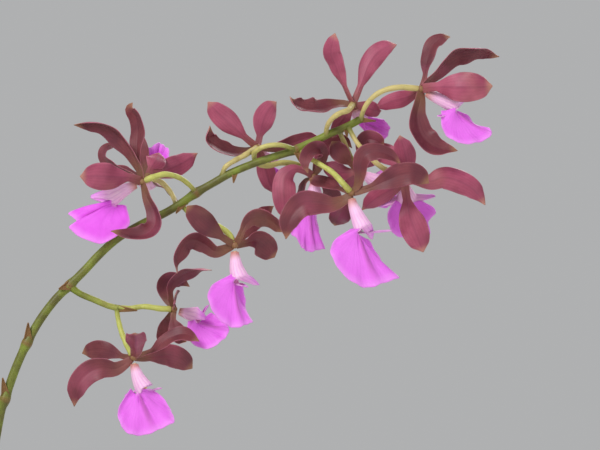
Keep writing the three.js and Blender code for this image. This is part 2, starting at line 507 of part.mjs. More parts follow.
// Steady frames along a curve: `face` leans to -Y where the curve lets it.
function framesAlong(curve, steps) {
  const frames = [];
  let previous = null;
  for (let i = 0; i <= steps; i += 1) {
    const point = curve.getPointAt(i / steps);
    const tangent = curve.getTangentAt(i / steps);
    const direct = new THREE.Vector3(0, -1, 0);
    direct.addScaledVector(tangent, -direct.dot(tangent));
    const strength = THREE.MathUtils.smoothstep(direct.length(), 0.05, 0.4);
    if (direct.lengthSq() < 1e-8) direct.set(0, 0, 1);
    const face = direct.normalize();
    if (previous) {
      const carried = previous.clone().addScaledVector(tangent, -previous.dot(tangent)).normalize();
      face.multiplyScalar(strength).addScaledVector(carried, 1 - strength).normalize();
    }
    previous = face.clone();
    frames.push({ point, tangent, face, side: new THREE.Vector3().crossVectors(tangent, face) });
  }
  return frames;
}

function smoothCurve(points) {
  return new THREE.CatmullRomCurve3(points, false, 'catmullrom', 0.5);
}

function tubeAlong(points, radiusAt, sides, steps) {
  const frames = framesAlong(smoothCurve(points), steps);
  const rings = frames.map(({ point, face, side }, i) => {
    const radius = radiusAt(i / steps);
    return Array.from({ length: sides }, (_, j) => {
      const angle = (2 * Math.PI * j) / sides;
      return point.clone()
        .addScaledVector(face, radius * Math.cos(angle))
        .addScaledVector(side, radius * Math.sin(angle));
    });
  });
  return solidFrom(tubeFromRings(rings));
}

// A thin closed blade from a grid of points, the same triangles on both faces.
function bladeFromGrid(grid, thickness) {
  const rows = grid.length;
  const columns = grid[0].length;
  const normals = grid.map((row, i) => row.map((_, j) => {
    const along = new THREE.Vector3().subVectors(
      grid[Math.min(i + 1, rows - 1)][j], grid[Math.max(i - 1, 0)][j]);
    const across = new THREE.Vector3().subVectors(
      row[Math.min(j + 1, columns - 1)], row[Math.max(j - 1, 0)]);
    return along.cross(across).normalize();
  }));
  const positions = [];
  [0.5, -0.5].forEach((half) => {
    grid.forEach((row, i) => row.forEach((p, j) => {
      const q = p.clone().addScaledVector(normals[i][j], half * thickness);
      positions.push(q.x, q.y, q.z);
    }));
  });
  const back = rows * columns;
  const triangles = [];
  const wall = (a, b) => triangles.push(a, b + back, b, a, a + back, b + back);
  for (let i = 0; i < rows - 1; i += 1) {
    for (let j = 0; j < columns - 1; j += 1) {
      const a = i * columns + j;
      const b = a + columns;
      triangles.push(a, b, b + 1, a, b + 1, a + 1);
      triangles.push(a + back, b + 1 + back, b + back, a + back, a + 1 + back, b + 1 + back);
    }
    wall(i * columns, (i + 1) * columns);
    wall((i + 2) * columns - 1, (i + 1) * columns - 1);
  }
  for (let j = 0; j < columns - 1; j += 1) {
    wall(j + 1, j);
    wall((rows - 1) * columns + j, (rows - 1) * columns + j + 1);
  }
  return solidFrom(closedGeometry(positions, triangles));
}

// Share of a tepal's width at u, from its base to its tip.
const TEPAL_SHAPES = {
  sepal: { claw: 0, clawWidth: 0.27, widest: 0.58, tip: 0.2 },
  petal: { claw: 0.24, clawWidth: 0.3, widest: 0.56, tip: 0.22 },
};

function widthShare(shape, u) {
  const { claw, clawWidth, widest, tip } = TEPAL_SHAPES[shape];
  if (u <= claw) return clawWidth;
  const s = (u - claw) / (1 - claw);
  const swell = Math.sin(Math.PI * s ** (Math.log(0.5) / Math.log(widest)));
  const floor = THREE.MathUtils.lerp(clawWidth, tip, s);
  return floor + (1 - floor) * Math.max(swell, 0) ** 0.85;
}

// A blade along a spine: each row is an arc that curls towards its face by `cup` radians.
function bladeAlong({ spine, roll, cup, widthAt, rows, cells, thickness }) {
  const frames = framesAlong(smoothCurve(spine), FRAME_STEPS);
  const grid = Array.from({ length: rows + 1 }, (_, i) => {
    const u = i / rows;
    const { point, face, side } = frames[Math.round(u * FRAME_STEPS)];
    const angle = THREE.MathUtils.degToRad(THREE.MathUtils.lerp(roll[0], roll[1], u));
    const up = face.clone().multiplyScalar(Math.cos(angle)).addScaledVector(side, Math.sin(angle));
    const across = side.clone().multiplyScalar(Math.cos(angle)).addScaledVector(face, -Math.sin(angle));
    const half = widthAt(u) / 2;
    const bend = cup * THREE.MathUtils.smoothstep(u, 0, 0.25) + 1e-4;
    return Array.from({ length: cells + 1 }, (__, j) => {
      const turn = bend * ((2 * j) / cells - 1);
      return point.clone()
        .addScaledVector(across, (half / bend) * Math.sin(turn))
        .addScaledVector(up, (half / bend) * (1 - Math.cos(turn)));
    });
  });
  return bladeFromGrid(grid, thickness);
}

// Clay pot: a lathe turned about Z, with drain holes through its floor.
function makePot() {
  const rimRadius = POT_TOP_RADIUS + RIM_PROUD;
  const innerTop = rimRadius - POT_WALL - RIM_FLARE;
  const innerBase = POT_BASE_RADIUS - POT_WALL + RIM_FLARE;
  const profile = [
    [0, 0], [POT_BASE_RADIUS, 0],
    [POT_TOP_RADIUS - POT_SLIMMING, POT_HEIGHT - RIM_HEIGHT],
    [rimRadius, POT_HEIGHT - RIM_HEIGHT + RIM_FLARE], [rimRadius + RIM_FLARE, POT_HEIGHT - 2 * RIM_FLARE],
    [rimRadius - RIM_FLARE, POT_HEIGHT], [innerTop, POT_HEIGHT],
    [innerBase, POT_FLOOR], [0, POT_FLOOR],
  ].map(([radius, height]) => new THREE.Vector2(radius, height));
  const turned = new THREE.LatheGeometry(profile, POT_SIDES).rotateX(Math.PI / 2);
  let pot = solidFrom(turned);
  for (let i = 0; i < DRAIN_COUNT; i += 1) {
    const angle = (2 * Math.PI * (i + 0.5)) / DRAIN_COUNT;
    const drain = new THREE.CylinderGeometry(DRAIN_RADIUS, DRAIN_RADIUS, 3 * POT_FLOOR, 16);
    drain.rotateX(Math.PI / 2);
    drain.translate(DRAIN_RING_RADIUS * Math.cos(angle), DRAIN_RING_RADIUS * Math.sin(angle), 0);
    pot = pot.subtract(solidFrom(drain));
  }
  addNode('pot', pot, CLAY);
  return { innerTop, innerBase };
}

// Roots run over the bark from the rhizome and dip into holes in it.
function rootPaths() {
  const random = seededRandom(11);
  const paths = [];
  BULBS.forEach(({ x, y }, index) => {
    [-1, 1].forEach((turn) => {
      const outward = Math.atan2(y, x + 14);
      const heading = outward + turn * (0.55 + 0.35 * random()) + (index === 0 ? 0 : 0.2);
      const reach = ROOT_REACH * (0.55 + 0.2 * random());
      const lying = BARK_TOP + SEAT_GAP + ROOT_RADIUS + 0.2;
      const at = (share, height) => new THREE.Vector3(
        x + share * reach * Math.cos(heading), y + share * reach * Math.sin(heading), height);
      if (Math.hypot(at(1, 0).x, at(1, 0).y) > ROOT_LIMIT) return;
      paths.push([
        at(0, RHIZOME_HEIGHT), at(0.45, lying + 1.4), at(0.88, lying + 0.8),
        at(1, BARK_TOP - 2), at(1.01, BARK_TOP - ROOT_DEPTH),
      ]);
    });
  });
  return paths;
}

const RHIZOME_PATH = [BULBS[0], BULBS[1], BULBS[3], BULBS[4], BULBS[2]]
  .map(({ x, y }) => new THREE.Vector3(x, y, RHIZOME_HEIGHT));

function makeRhizome(roots) {
  const solids = RHIZOME_PATH.slice(1).map((end, i) => tubeAlong(
    [RHIZOME_PATH[i], RHIZOME_PATH[i].clone().lerp(end, 0.5), end],
    (u) => RHIZOME_RADIUS * (0.82 + 0.18 * Math.cos(2 * Math.PI * u)), 6, 4));
  const tip = new THREE.Vector3(10, 2, 0);
  solids.push(tubeAlong(
    [RHIZOME_PATH[0], RHIZOME_PATH[0].clone().addScaledVector(tip, 0.6), RHIZOME_PATH[0].clone().add(tip)],
    (u) => RHIZOME_RADIUS * (1 - 0.6 * u), 6, 3));
  BULBS.forEach(({ x, y }) => {
    const knuckle = new THREE.CylinderGeometry(KNUCKLE_RADIUS, RHIZOME_RADIUS, RHIZOME_RADIUS, 6);
    knuckle.rotateX(Math.PI / 2);
    knuckle.translate(x, y, RHIZOME_HEIGHT + RHIZOME_RADIUS / 2);
    solids.push(solidFrom(knuckle));
  });
  roots.forEach((path) => solids.push(tubeAlong(path, () => ROOT_RADIUS, 5, 5)));
  addNode('rhizome_with_roots', fuse(solids), ROOT);
}

function makeBark({ innerTop, innerBase }, roots) {
  const slope = (innerTop - innerBase) / (POT_HEIGHT - POT_FLOOR);
  const innerAt = (height) => innerBase + slope * (height - POT_FLOOR);
  const floor = POT_FLOOR + SEAT_GAP;
  const side = (height) => innerAt(height) * Math.cos(Math.PI / POT_SIDES) - SEAT_GAP;
  const profile = [[0, floor], [side(floor), floor], [side(BARK_TOP), BARK_TOP], [0, BARK_TOP]]
    .map(([radius, height]) => new THREE.Vector2(radius, height));
  let bed = solidFrom(new THREE.LatheGeometry(profile, POT_SIDES).rotateX(Math.PI / 2));
  roots.forEach((path) => {
    const end = path[path.length - 1];
    const radius = ROOT_RADIUS + ROOT_HOLE_MARGIN;
    const hole = new THREE.CylinderGeometry(radius, radius, 2 * (ROOT_DEPTH + ROOT_HOLE_MARGIN), 8);
    hole.rotateX(Math.PI / 2);
    hole.translate(end.x, end.y, BARK_TOP);
    bed = bed.subtract(solidFrom(hole));
  });
  const busy = roots.flatMap((path) => path.slice(0, 4));
  RHIZOME_PATH.forEach((point, i) => {
    const next = RHIZOME_PATH[Math.min(i + 1, RHIZOME_PATH.length - 1)];
    [0, 0.33, 0.66].forEach((share) => busy.push(point.clone().lerp(next, share)));
  });
  busy.push(new THREE.Vector3(16, 2, RHIZOME_HEIGHT));
  const random = seededRandom(5);
  const chunks = [bed];
  for (let tries = 0; chunks.length <= CHUNK_COUNT && tries < 4000; tries += 1) {
    const radius = CHUNK_RADIUS * (0.6 + 0.5 * random());
    const reach = (side(BARK_TOP) - radius - 0.5) * Math.sqrt(random());
    const heading = 2 * Math.PI * random();
    const place = new THREE.Vector3(reach * Math.cos(heading), reach * Math.sin(heading), BARK_TOP);
    const clear = busy.every((p) => Math.hypot(p.x - place.x, p.y - place.y) > radius + RHIZOME_RADIUS + 1);
    const chunk = new THREE.IcosahedronGeometry(radius, 0);
    chunk.scale(1, 0.62, 0.55);
    chunk.rotateX(0.5 * (random() - 0.5));
    chunk.rotateY(0.5 * (random() - 0.5));
    chunk.rotateZ(2 * Math.PI * random());
    chunk.translate(place.x, place.y, BARK_TOP + 0.1 * radius);
    if (clear) chunks.push(solidFrom(chunk));
  }
  addNode('bark_bed', fuse(chunks), BARK);
}

// Pseudobulbs: a slender cone with a full waist and rings where its sheaths end.
function bulbRadius(radius, u) {
  return radius * (0.4 + 0.6 * Math.sin(Math.PI * Math.min(1, 0.18 + u * 1.05)) ** 0.9) * (1 - 0.32 * u);
}

function makeBulbs() {
  BULBS.forEach(({ x, y, height, radius }, index) => {
    const profile = [[0, 0]];
    const steps = 6;
    for (let i = 0; i <= steps; i += 1) {
      profile.push([bulbRadius(radius, i / steps), (height * i) / steps]);
    }
    profile.push([0, height]);
    const turned = new THREE.LatheGeometry(profile.map(([r, h]) => new THREE.Vector2(r, h)), 10);
    turned.rotateX(Math.PI / 2);
    turned.translate(x, y, BULB_SEAT);
    addNode(`pseudobulb_${index + 1}`, solidFrom(turned), BULB);
  });
}

// A leaf leans further over along its length, so its spine is a sum of short steps.
function leafSpine({ bulb, heading, length, leanBase, leanTip }) {
  const { x, y, height, radius } = BULBS[bulb];
  const turn = THREE.MathUtils.degToRad(heading);
  const outward = new THREE.Vector3(Math.cos(turn), Math.sin(turn), 0);
  const point = new THREE.Vector3(x, y, BULB_SEAT + height + SEAT_GAP + 0.4)
    .addScaledVector(outward, bulbRadius(radius, 1) * 0.9);
  const spine = [point.clone()];
  const steps = 8;
  for (let i = 0; i < steps; i += 1) {
    const share = ((i + 0.5) / steps) ** 1.2;
    const lean = THREE.MathUtils.degToRad(THREE.MathUtils.lerp(leanBase, leanTip, share));
    point.addScaledVector(outward, (length / steps) * Math.sin(lean));
    point.z += (length / steps) * Math.cos(lean);
    spine.push(point.clone());
  }
  return { spine, outward };
}

function makeLeaves() {
  LEAVES.forEach((leaf, index) => {
    const { spine, outward } = leafSpine(leaf);
    const curve = smoothCurve(spine);
    const across = new THREE.Vector3(-outward.y, outward.x, 0);
    const rows = 7;
    const grid = Array.from({ length: rows + 1 }, (_, i) => {
      const u = i / rows;
      const point = curve.getPointAt(u);
      const up = new THREE.Vector3().crossVectors(curve.getTangentAt(u), across);
      const half = (LEAF_WIDTH / 2) * (0.15 + 0.85 * Math.max(0, Math.sin(Math.PI * u ** 0.8)) ** 0.6);
      const opening = THREE.MathUtils.smoothstep(u, 0, 0.3);
      const fold = THREE.MathUtils.lerp(LEAF_FOLD_BASE, LEAF_FOLD_FULL, opening) - LEAF_UNFOLDING * u;
      return [-1, 0, 1].map((v) => point.clone()
        .addScaledVector(across, v * half * Math.cos(fold))
        .addScaledVector(up, Math.abs(v) * half * Math.sin(fold)));
    });
    addNode(`leaf_${String(index + 1).padStart(2, '0')}`, bladeFromGrid(grid, LEAF_THICKNESS), LEAF);
  });
}

// The flower stalk: peduncle, rachis, side branch, pedicels, bracts and nodes in one body.
function bractSolid({ root, tip, width }) {
  const start = vector(root);
  const end = vector(tip);
  return bladeAlong({
    spine: [start, start.clone().lerp(end, 0.5), end],
    roll: [0, 0], cup: 0.7, widthAt: (u) => width * (1 - 0.75 * u), rows: 2, cells: 2, thickness: 0.7,
  });
}

function pedicelPoints({ heart, pedicel }) {
  const points = pedicel.map(vector);
  const centre = vector(heart);
  const away = points[points.length - 1].clone().sub(centre).normalize();
  points.push(centre.addScaledVector(away, HEART_RADIUS + SEAT_GAP + 0.1));
  return points;
}

function makeStalk() {
  const taper = (u) => THREE.MathUtils.lerp(PEDUNCLE_RADIUS, RACHIS_RADIUS, u);
  const solids = [tubeAlong(STEM.map(vector), taper, 8, 26)];
  solids.push(tubeAlong(SIDE_BRANCH.map(vector), () => BRANCH_RADIUS, 6, 6));
  STEM_NODES.forEach((place) => {
    const knob = new THREE.IcosahedronGeometry(NODE_RADIUS, 0);
    const centre = vector(place);
    knob.scale(0.9, 0.9, 1);
    knob.translate(centre.x, centre.y, centre.z);
    solids.push(solidFrom(knob));
  });
  BLOOMS.forEach((bloom) => {
    const points = pedicelPoints(bloom);
    const swell = (u) => PEDICEL_RADIUS * (0.86 + 0.34 * u) * (u > 0.95 ? 0.66 : 1);
    solids.push(tubeAlong(points, swell, 5, points.length));
  });
  BRACTS.forEach((bract) => solids.push(bractSolid(bract)));
  addNode('flower_stalk', fuse(solids), STALK);
}

// A bloom's parts, in the bloom's own frame.
function makeTepals({ tepals }) {
  const solids = [solidFrom(new THREE.IcosahedronGeometry(HEART_RADIUS, 0))];
  tepals.forEach(({ shape, width, cup, roll, spine }) => {
    solids.push(bladeAlong({
      spine: [vector(spine[0]).setLength(HEART_RADIUS / 2), ...spine.map(vector)],
      roll, cup, widthAt: (u) => width * widthShare(shape, u),
      rows: spine.length > 4 ? TEPAL_ROWS : SHORT_TEPAL_ROWS, cells: TEPAL_CELLS, thickness: TEPAL_THICKNESS,
    }));
  });
  return fuse(solids);
}

function columnCurve({ column }) {
  const points = column.map(vector);
  const first = points[0].clone().setLength(HEART_RADIUS + 2 * SEAT_GAP);
  return smoothCurve([first, ...points]);
}

function makeColumn(bloom) {
  const curve = columnCurve(bloom);
  const points = Array.from({ length: 4 }, (_, i) => curve.getPointAt((COLUMN_SHARE * i) / 3));
  return tubeAlong(points, (u) => COLUMN_RADIUS * (0.5 + 0.5 * Math.min(1, 1.6 * u)), 6, 3);
}

function sleeveFrames({ open, ...bloom }) {
  const curve = columnCurve(bloom);
  const back = vector(open);
  return (u) => {
    const point = curve.getPointAt(THREE.MathUtils.lerp(SLEEVE_START, 1, u));
    const tangent = curve.getTangentAt(THREE.MathUtils.lerp(SLEEVE_START, 1, u));
    const keel = back.clone().addScaledVector(tangent, -back.dot(tangent)).normalize().negate();
    const side = new THREE.Vector3().crossVectors(tangent, keel);
    const radius = THREE.MathUtils.lerp(SLEEVE_RADIUS_BASE, SLEEVE_RADIUS_END, u);
    return { point, tangent, keel, side, radius };
  };
}

function aroundSleeve({ point, keel, side, radius }, degrees) {
  const angle = THREE.MathUtils.degToRad(degrees);
  return point.clone()
    .addScaledVector(keel, radius * Math.cos(angle))
    .addScaledVector(side, radius * Math.sin(angle));
}

// The sleeve wraps the column, and its mouth flares into the tongues of the two side lobes.
function makeSleeve(frameAt, lobes) {
  const mouth = frameAt(1);
  const grid = Array.from({ length: SLEEVE_ROWS + 2 }, (_, i) => LOBE_REACHES.map((reach, j) => {
    const share = (2 * j) / (LOBE_REACHES.length - 1) - 1;
    if (i <= SLEEVE_ROWS) return aroundSleeve(frameAt(i / SLEEVE_ROWS), SLEEVE_WRAP * share);
    const rim = aroundSleeve(mouth, SLEEVE_WRAP * share);
    if (!reach) return rim.addScaledVector(mouth.tangent, MOUTH_STEP);
    const middle = aroundSleeve(mouth, SLEEVE_WRAP * Math.sign(share) * LOBE_MIDDLE);
    const tip = vector(share < 0 ? lobes[1] : lobes[0]);
    return rim.sub(middle).multiplyScalar(LOBE_SPREAD).add(middle.lerp(tip, reach));
  }));
  return bladeFromGrid(grid, SLEEVE_THICKNESS);
}

// The lip fans out from the sleeve's mouth to its rim, with a notch in the middle.
function makeLipBlade(frame, rim) {
  const edge = smoothCurve(rim.map(vector));
  const across = edge.getPoint(LIP_SHOULDER).sub(edge.getPoint(1 - LIP_SHOULDER));
  const turn = frame.side.dot(across) > 0 ? -1 : 1;
  const axis = edge.getPoint(0.5).sub(aroundSleeve(frame, 0));
  const out = axis.cross(across).normalize();
  const grid = Array.from({ length: LIP_ROWS + 1 }, (_, i) => {
    const u = i / LIP_ROWS;
    return Array.from({ length: LIP_CELLS + 1 }, (__, j) => {
      const v = (2 * j) / LIP_CELLS - 1;
      const swell = LIP_SWELL * Math.sin(Math.PI * u) * (1 - LIP_SWELL_FADE * v * v);
      return aroundSleeve(frame, turn * LIP_SPAN * v)
        .lerp(edge.getPoint((v + 1) / 2), u)
        .addScaledVector(out, swell);
    });
  });
  return bladeFromGrid(grid, SLEEVE_THICKNESS);
}

function makeLip(bloom) {
  const frameAt = sleeveFrames(bloom);
  return fuse([makeSleeve(frameAt, bloom.lobes), makeLipBlade(frameAt(1), bloom.rim)]);
}

function makeBlooms() {
  BLOOMS.forEach((bloom, index) => {
    const name = `bloom_${String(index + 1).padStart(2, '0')}`;
    const { x, y, z } = vector(bloom.heart);
    addNode(`${name}_tepals`, makeTepals(bloom).translate([x, y, z]), TEPAL);
    addNode(`${name}_column`, makeColumn(bloom).translate([x, y, z]), COLUMN);
    addNode(`${name}_lip`, makeLip(bloom).translate([x, y, z]), LIP);
  });
}

const roots = rootPaths();
const potInside = makePot();
makeBark(potInside, roots);
makeRhizome(roots);
makeBulbs();
makeLeaves();
makeStalk();
makeBlooms();

export default part;
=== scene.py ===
import bisect
import math

import bmesh
import bpy
from bpy.props import FloatProperty, FloatVectorProperty, IntProperty, PointerProperty
from mathutils import Euler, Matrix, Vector, noise


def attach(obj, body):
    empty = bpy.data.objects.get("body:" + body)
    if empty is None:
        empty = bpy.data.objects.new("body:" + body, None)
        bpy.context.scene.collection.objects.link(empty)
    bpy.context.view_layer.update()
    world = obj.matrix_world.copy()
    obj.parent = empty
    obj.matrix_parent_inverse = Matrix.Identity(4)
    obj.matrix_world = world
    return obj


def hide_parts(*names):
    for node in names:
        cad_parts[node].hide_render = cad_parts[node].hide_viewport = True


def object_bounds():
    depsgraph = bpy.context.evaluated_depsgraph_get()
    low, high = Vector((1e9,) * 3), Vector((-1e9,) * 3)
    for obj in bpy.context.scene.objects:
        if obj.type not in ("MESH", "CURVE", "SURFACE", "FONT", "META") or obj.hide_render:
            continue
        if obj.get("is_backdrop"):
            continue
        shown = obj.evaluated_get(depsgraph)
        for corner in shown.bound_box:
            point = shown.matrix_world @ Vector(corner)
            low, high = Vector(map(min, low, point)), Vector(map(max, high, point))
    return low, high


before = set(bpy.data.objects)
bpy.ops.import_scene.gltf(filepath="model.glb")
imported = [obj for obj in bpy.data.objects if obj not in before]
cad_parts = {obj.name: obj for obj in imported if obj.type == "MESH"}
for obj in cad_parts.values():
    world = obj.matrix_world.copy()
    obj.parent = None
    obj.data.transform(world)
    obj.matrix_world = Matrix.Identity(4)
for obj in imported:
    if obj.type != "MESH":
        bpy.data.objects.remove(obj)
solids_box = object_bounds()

bl_info = {
    "name": "Potted Cockleshell Orchid",
    "version": (1, 0, 0),
    "blender": (4, 5, 0),
    "location": "View3D > Sidebar > Orchid",
    "description": "Grows a flowering Encyclia cordigera in a clay pot, piece by piece",
    "category": "Add Mesh",
}

MM = 0.001
SEAT_GAP = 0.3

# Clay pot, bark and rhizome, as the solids have them. Millimetres.
POT_SIDES = 30
BARK_TOP = 94.0
CHUNK_COUNT = 24
CHUNK_RADIUS = 7.0
RHIZOME_RADIUS = 3.4
RHIZOME_HEIGHT = BARK_TOP + SEAT_GAP + RHIZOME_RADIUS
ROOT_RADIUS = 1.4
ROOT_REACH = 25.0
ROOT_DEPTH = 12.0
ROOT_LIMIT = 50
KNUCKLE_RADIUS = 3.2
POT_SLIMMING = 2.5
BULB_SEAT = RHIZOME_HEIGHT + RHIZOME_RADIUS + SEAT_GAP
BULBS = [
    {"x": 6, "y": 0, "height": 56, "radius": 11},
    {"x": -14, "y": -16, "height": 54, "radius": 10},
    {"x": -17, "y": 14, "height": 52, "radius": 10},
    {"x": -36, "y": -5, "height": 48, "radius": 9},
    {"x": -38, "y": 20, "height": 42, "radius": 8},
]

# Papery sheaths of a bulb: where each starts and ends along it, and how far it stands off.
SHEATHS = ((0.02, 0.34, 0.75), (0.06, 0.52, 0.55), (0.12, 0.66, 0.35))

# How far a leaf folds up along its midrib at its base and further out, and how much it opens again.
LEAF_FOLD_BASE = 0.08
LEAF_FOLD_FULL = 0.5
LEAF_UNFOLDING = 0.2

# Strap leaves: the bulb, the heading from +X in degrees, and the lean from upright at each end.
LEAVES = [
    {"bulb": 0, "heading": -66, "length": 215, "lean": (38, 118)},
    {"bulb": 0, "heading": 78, "length": 225, "lean": (34, 112)},
    {"bulb": 1, "heading": -112, "length": 235, "lean": (22, 104)},
    {"bulb": 1, "heading": -30, "length": 190, "lean": (56, 132)},
    {"bulb": 2, "heading": 42, "length": 200, "lean": (54, 128)},
    {"bulb": 2, "heading": 126, "length": 240, "lean": (20, 92)},
    {"bulb": 3, "heading": -88, "length": 230, "lean": (34, 100)},
    {"bulb": 3, "heading": 178, "length": 205, "lean": (18, 70)},
    {"bulb": 4, "heading": 172, "length": 185, "lean": (40, 114)},
    {"bulb": 4, "heading": 74, "length": 170, "lean": (46, 124)},
]

# Flower stalk. Stations of the spray are [x, z, y] in millimetres.
PEDUNCLE_RADIUS = 2.0
RACHIS_RADIUS = 1.5
STEM = [
    [6, 158.4, 0], [9, 187, 0], [13.5, 222, 0], [18.5, 258, 0], [22, 279, 0], [24, 285.4, 0],
    [28, 297, 0], [32.8, 307.8, 0], [38, 317, 0], [44, 325, 0], [50, 331, 0], [56, 337, 0],
    [62, 343.4, 0], [69, 349.6, 0], [78, 355, 0], [88, 359.8, 0], [94, 363.4, 0],
    [100.4, 367.8, 0], [108, 372.2, 0], [114, 375.6, 0], [122, 379, 0], [130, 381.8, 0],
    [136, 383.6, 0], [140.8, 385.2, 0], [145, 387.4, 0], [150, 389.6, 0], [154, 391.6, 0],
    [158, 393.2, 0], [162, 395, 0], [166, 397.2, 0],
]
SIDE_BRANCH = [[50, 330.6, 0], [54, 327.6, -0.5], [60, 325, -1], [65.2, 322.8, -1], [69, 321.8, -1]]
STEM_NODES = [[24, 285.4, 0], [32.8, 307.8, 0], [50, 330.8, 0], [100.4, 367.8, 0], [140.8, 385.2, 0]]
PEDICEL_RADIUS = 1.05
# How cream, rather than green, the pedicel of each bloom is.
PEDICEL_CREAM = (0.1, 1, 1, 0.6, 0.1, 1, 1, 1, 0, 0, 0, 0.5)
HEART_RADIUS = 1.7

# Papery bracts and dried bud stubs: root, tip, and width at the root.
BRACTS = [
    ([24.4, 286, -0.6], [23.2, 294, -2.6], 4),
    ([33.2, 308, -0.6], [33.4, 316, -2.6], 4),
    ([50.2, 331, -0.8], [45.6, 329.4, -2.6], 4.4),
    ([69, 321.6, -1], [77, 320.8, -2.4], 3),
    ([96, 364.6, 0], [92.4, 359.6, -1.4], 3.4),
    ([116, 376.2, 0], [115.4, 371.8, -1.6], 2.8),
    ([141, 385, -0.8], [142.4, 379.6, -2.4], 4),
    ([160.4, 394.4, 0], [160.8, 390, -1.6], 2.8),
    ([166, 397, 0], [172.4, 396.6, -0.4], 2.4),
]


def tepal_form(shape, width, cup, roll, spine):
    """One tepal: its roll is in degrees at its base and tip, and its edges curl up by cup radians."""
    return {"shape": shape, "width": width, "cup": cup, "roll": roll, "spine": spine}


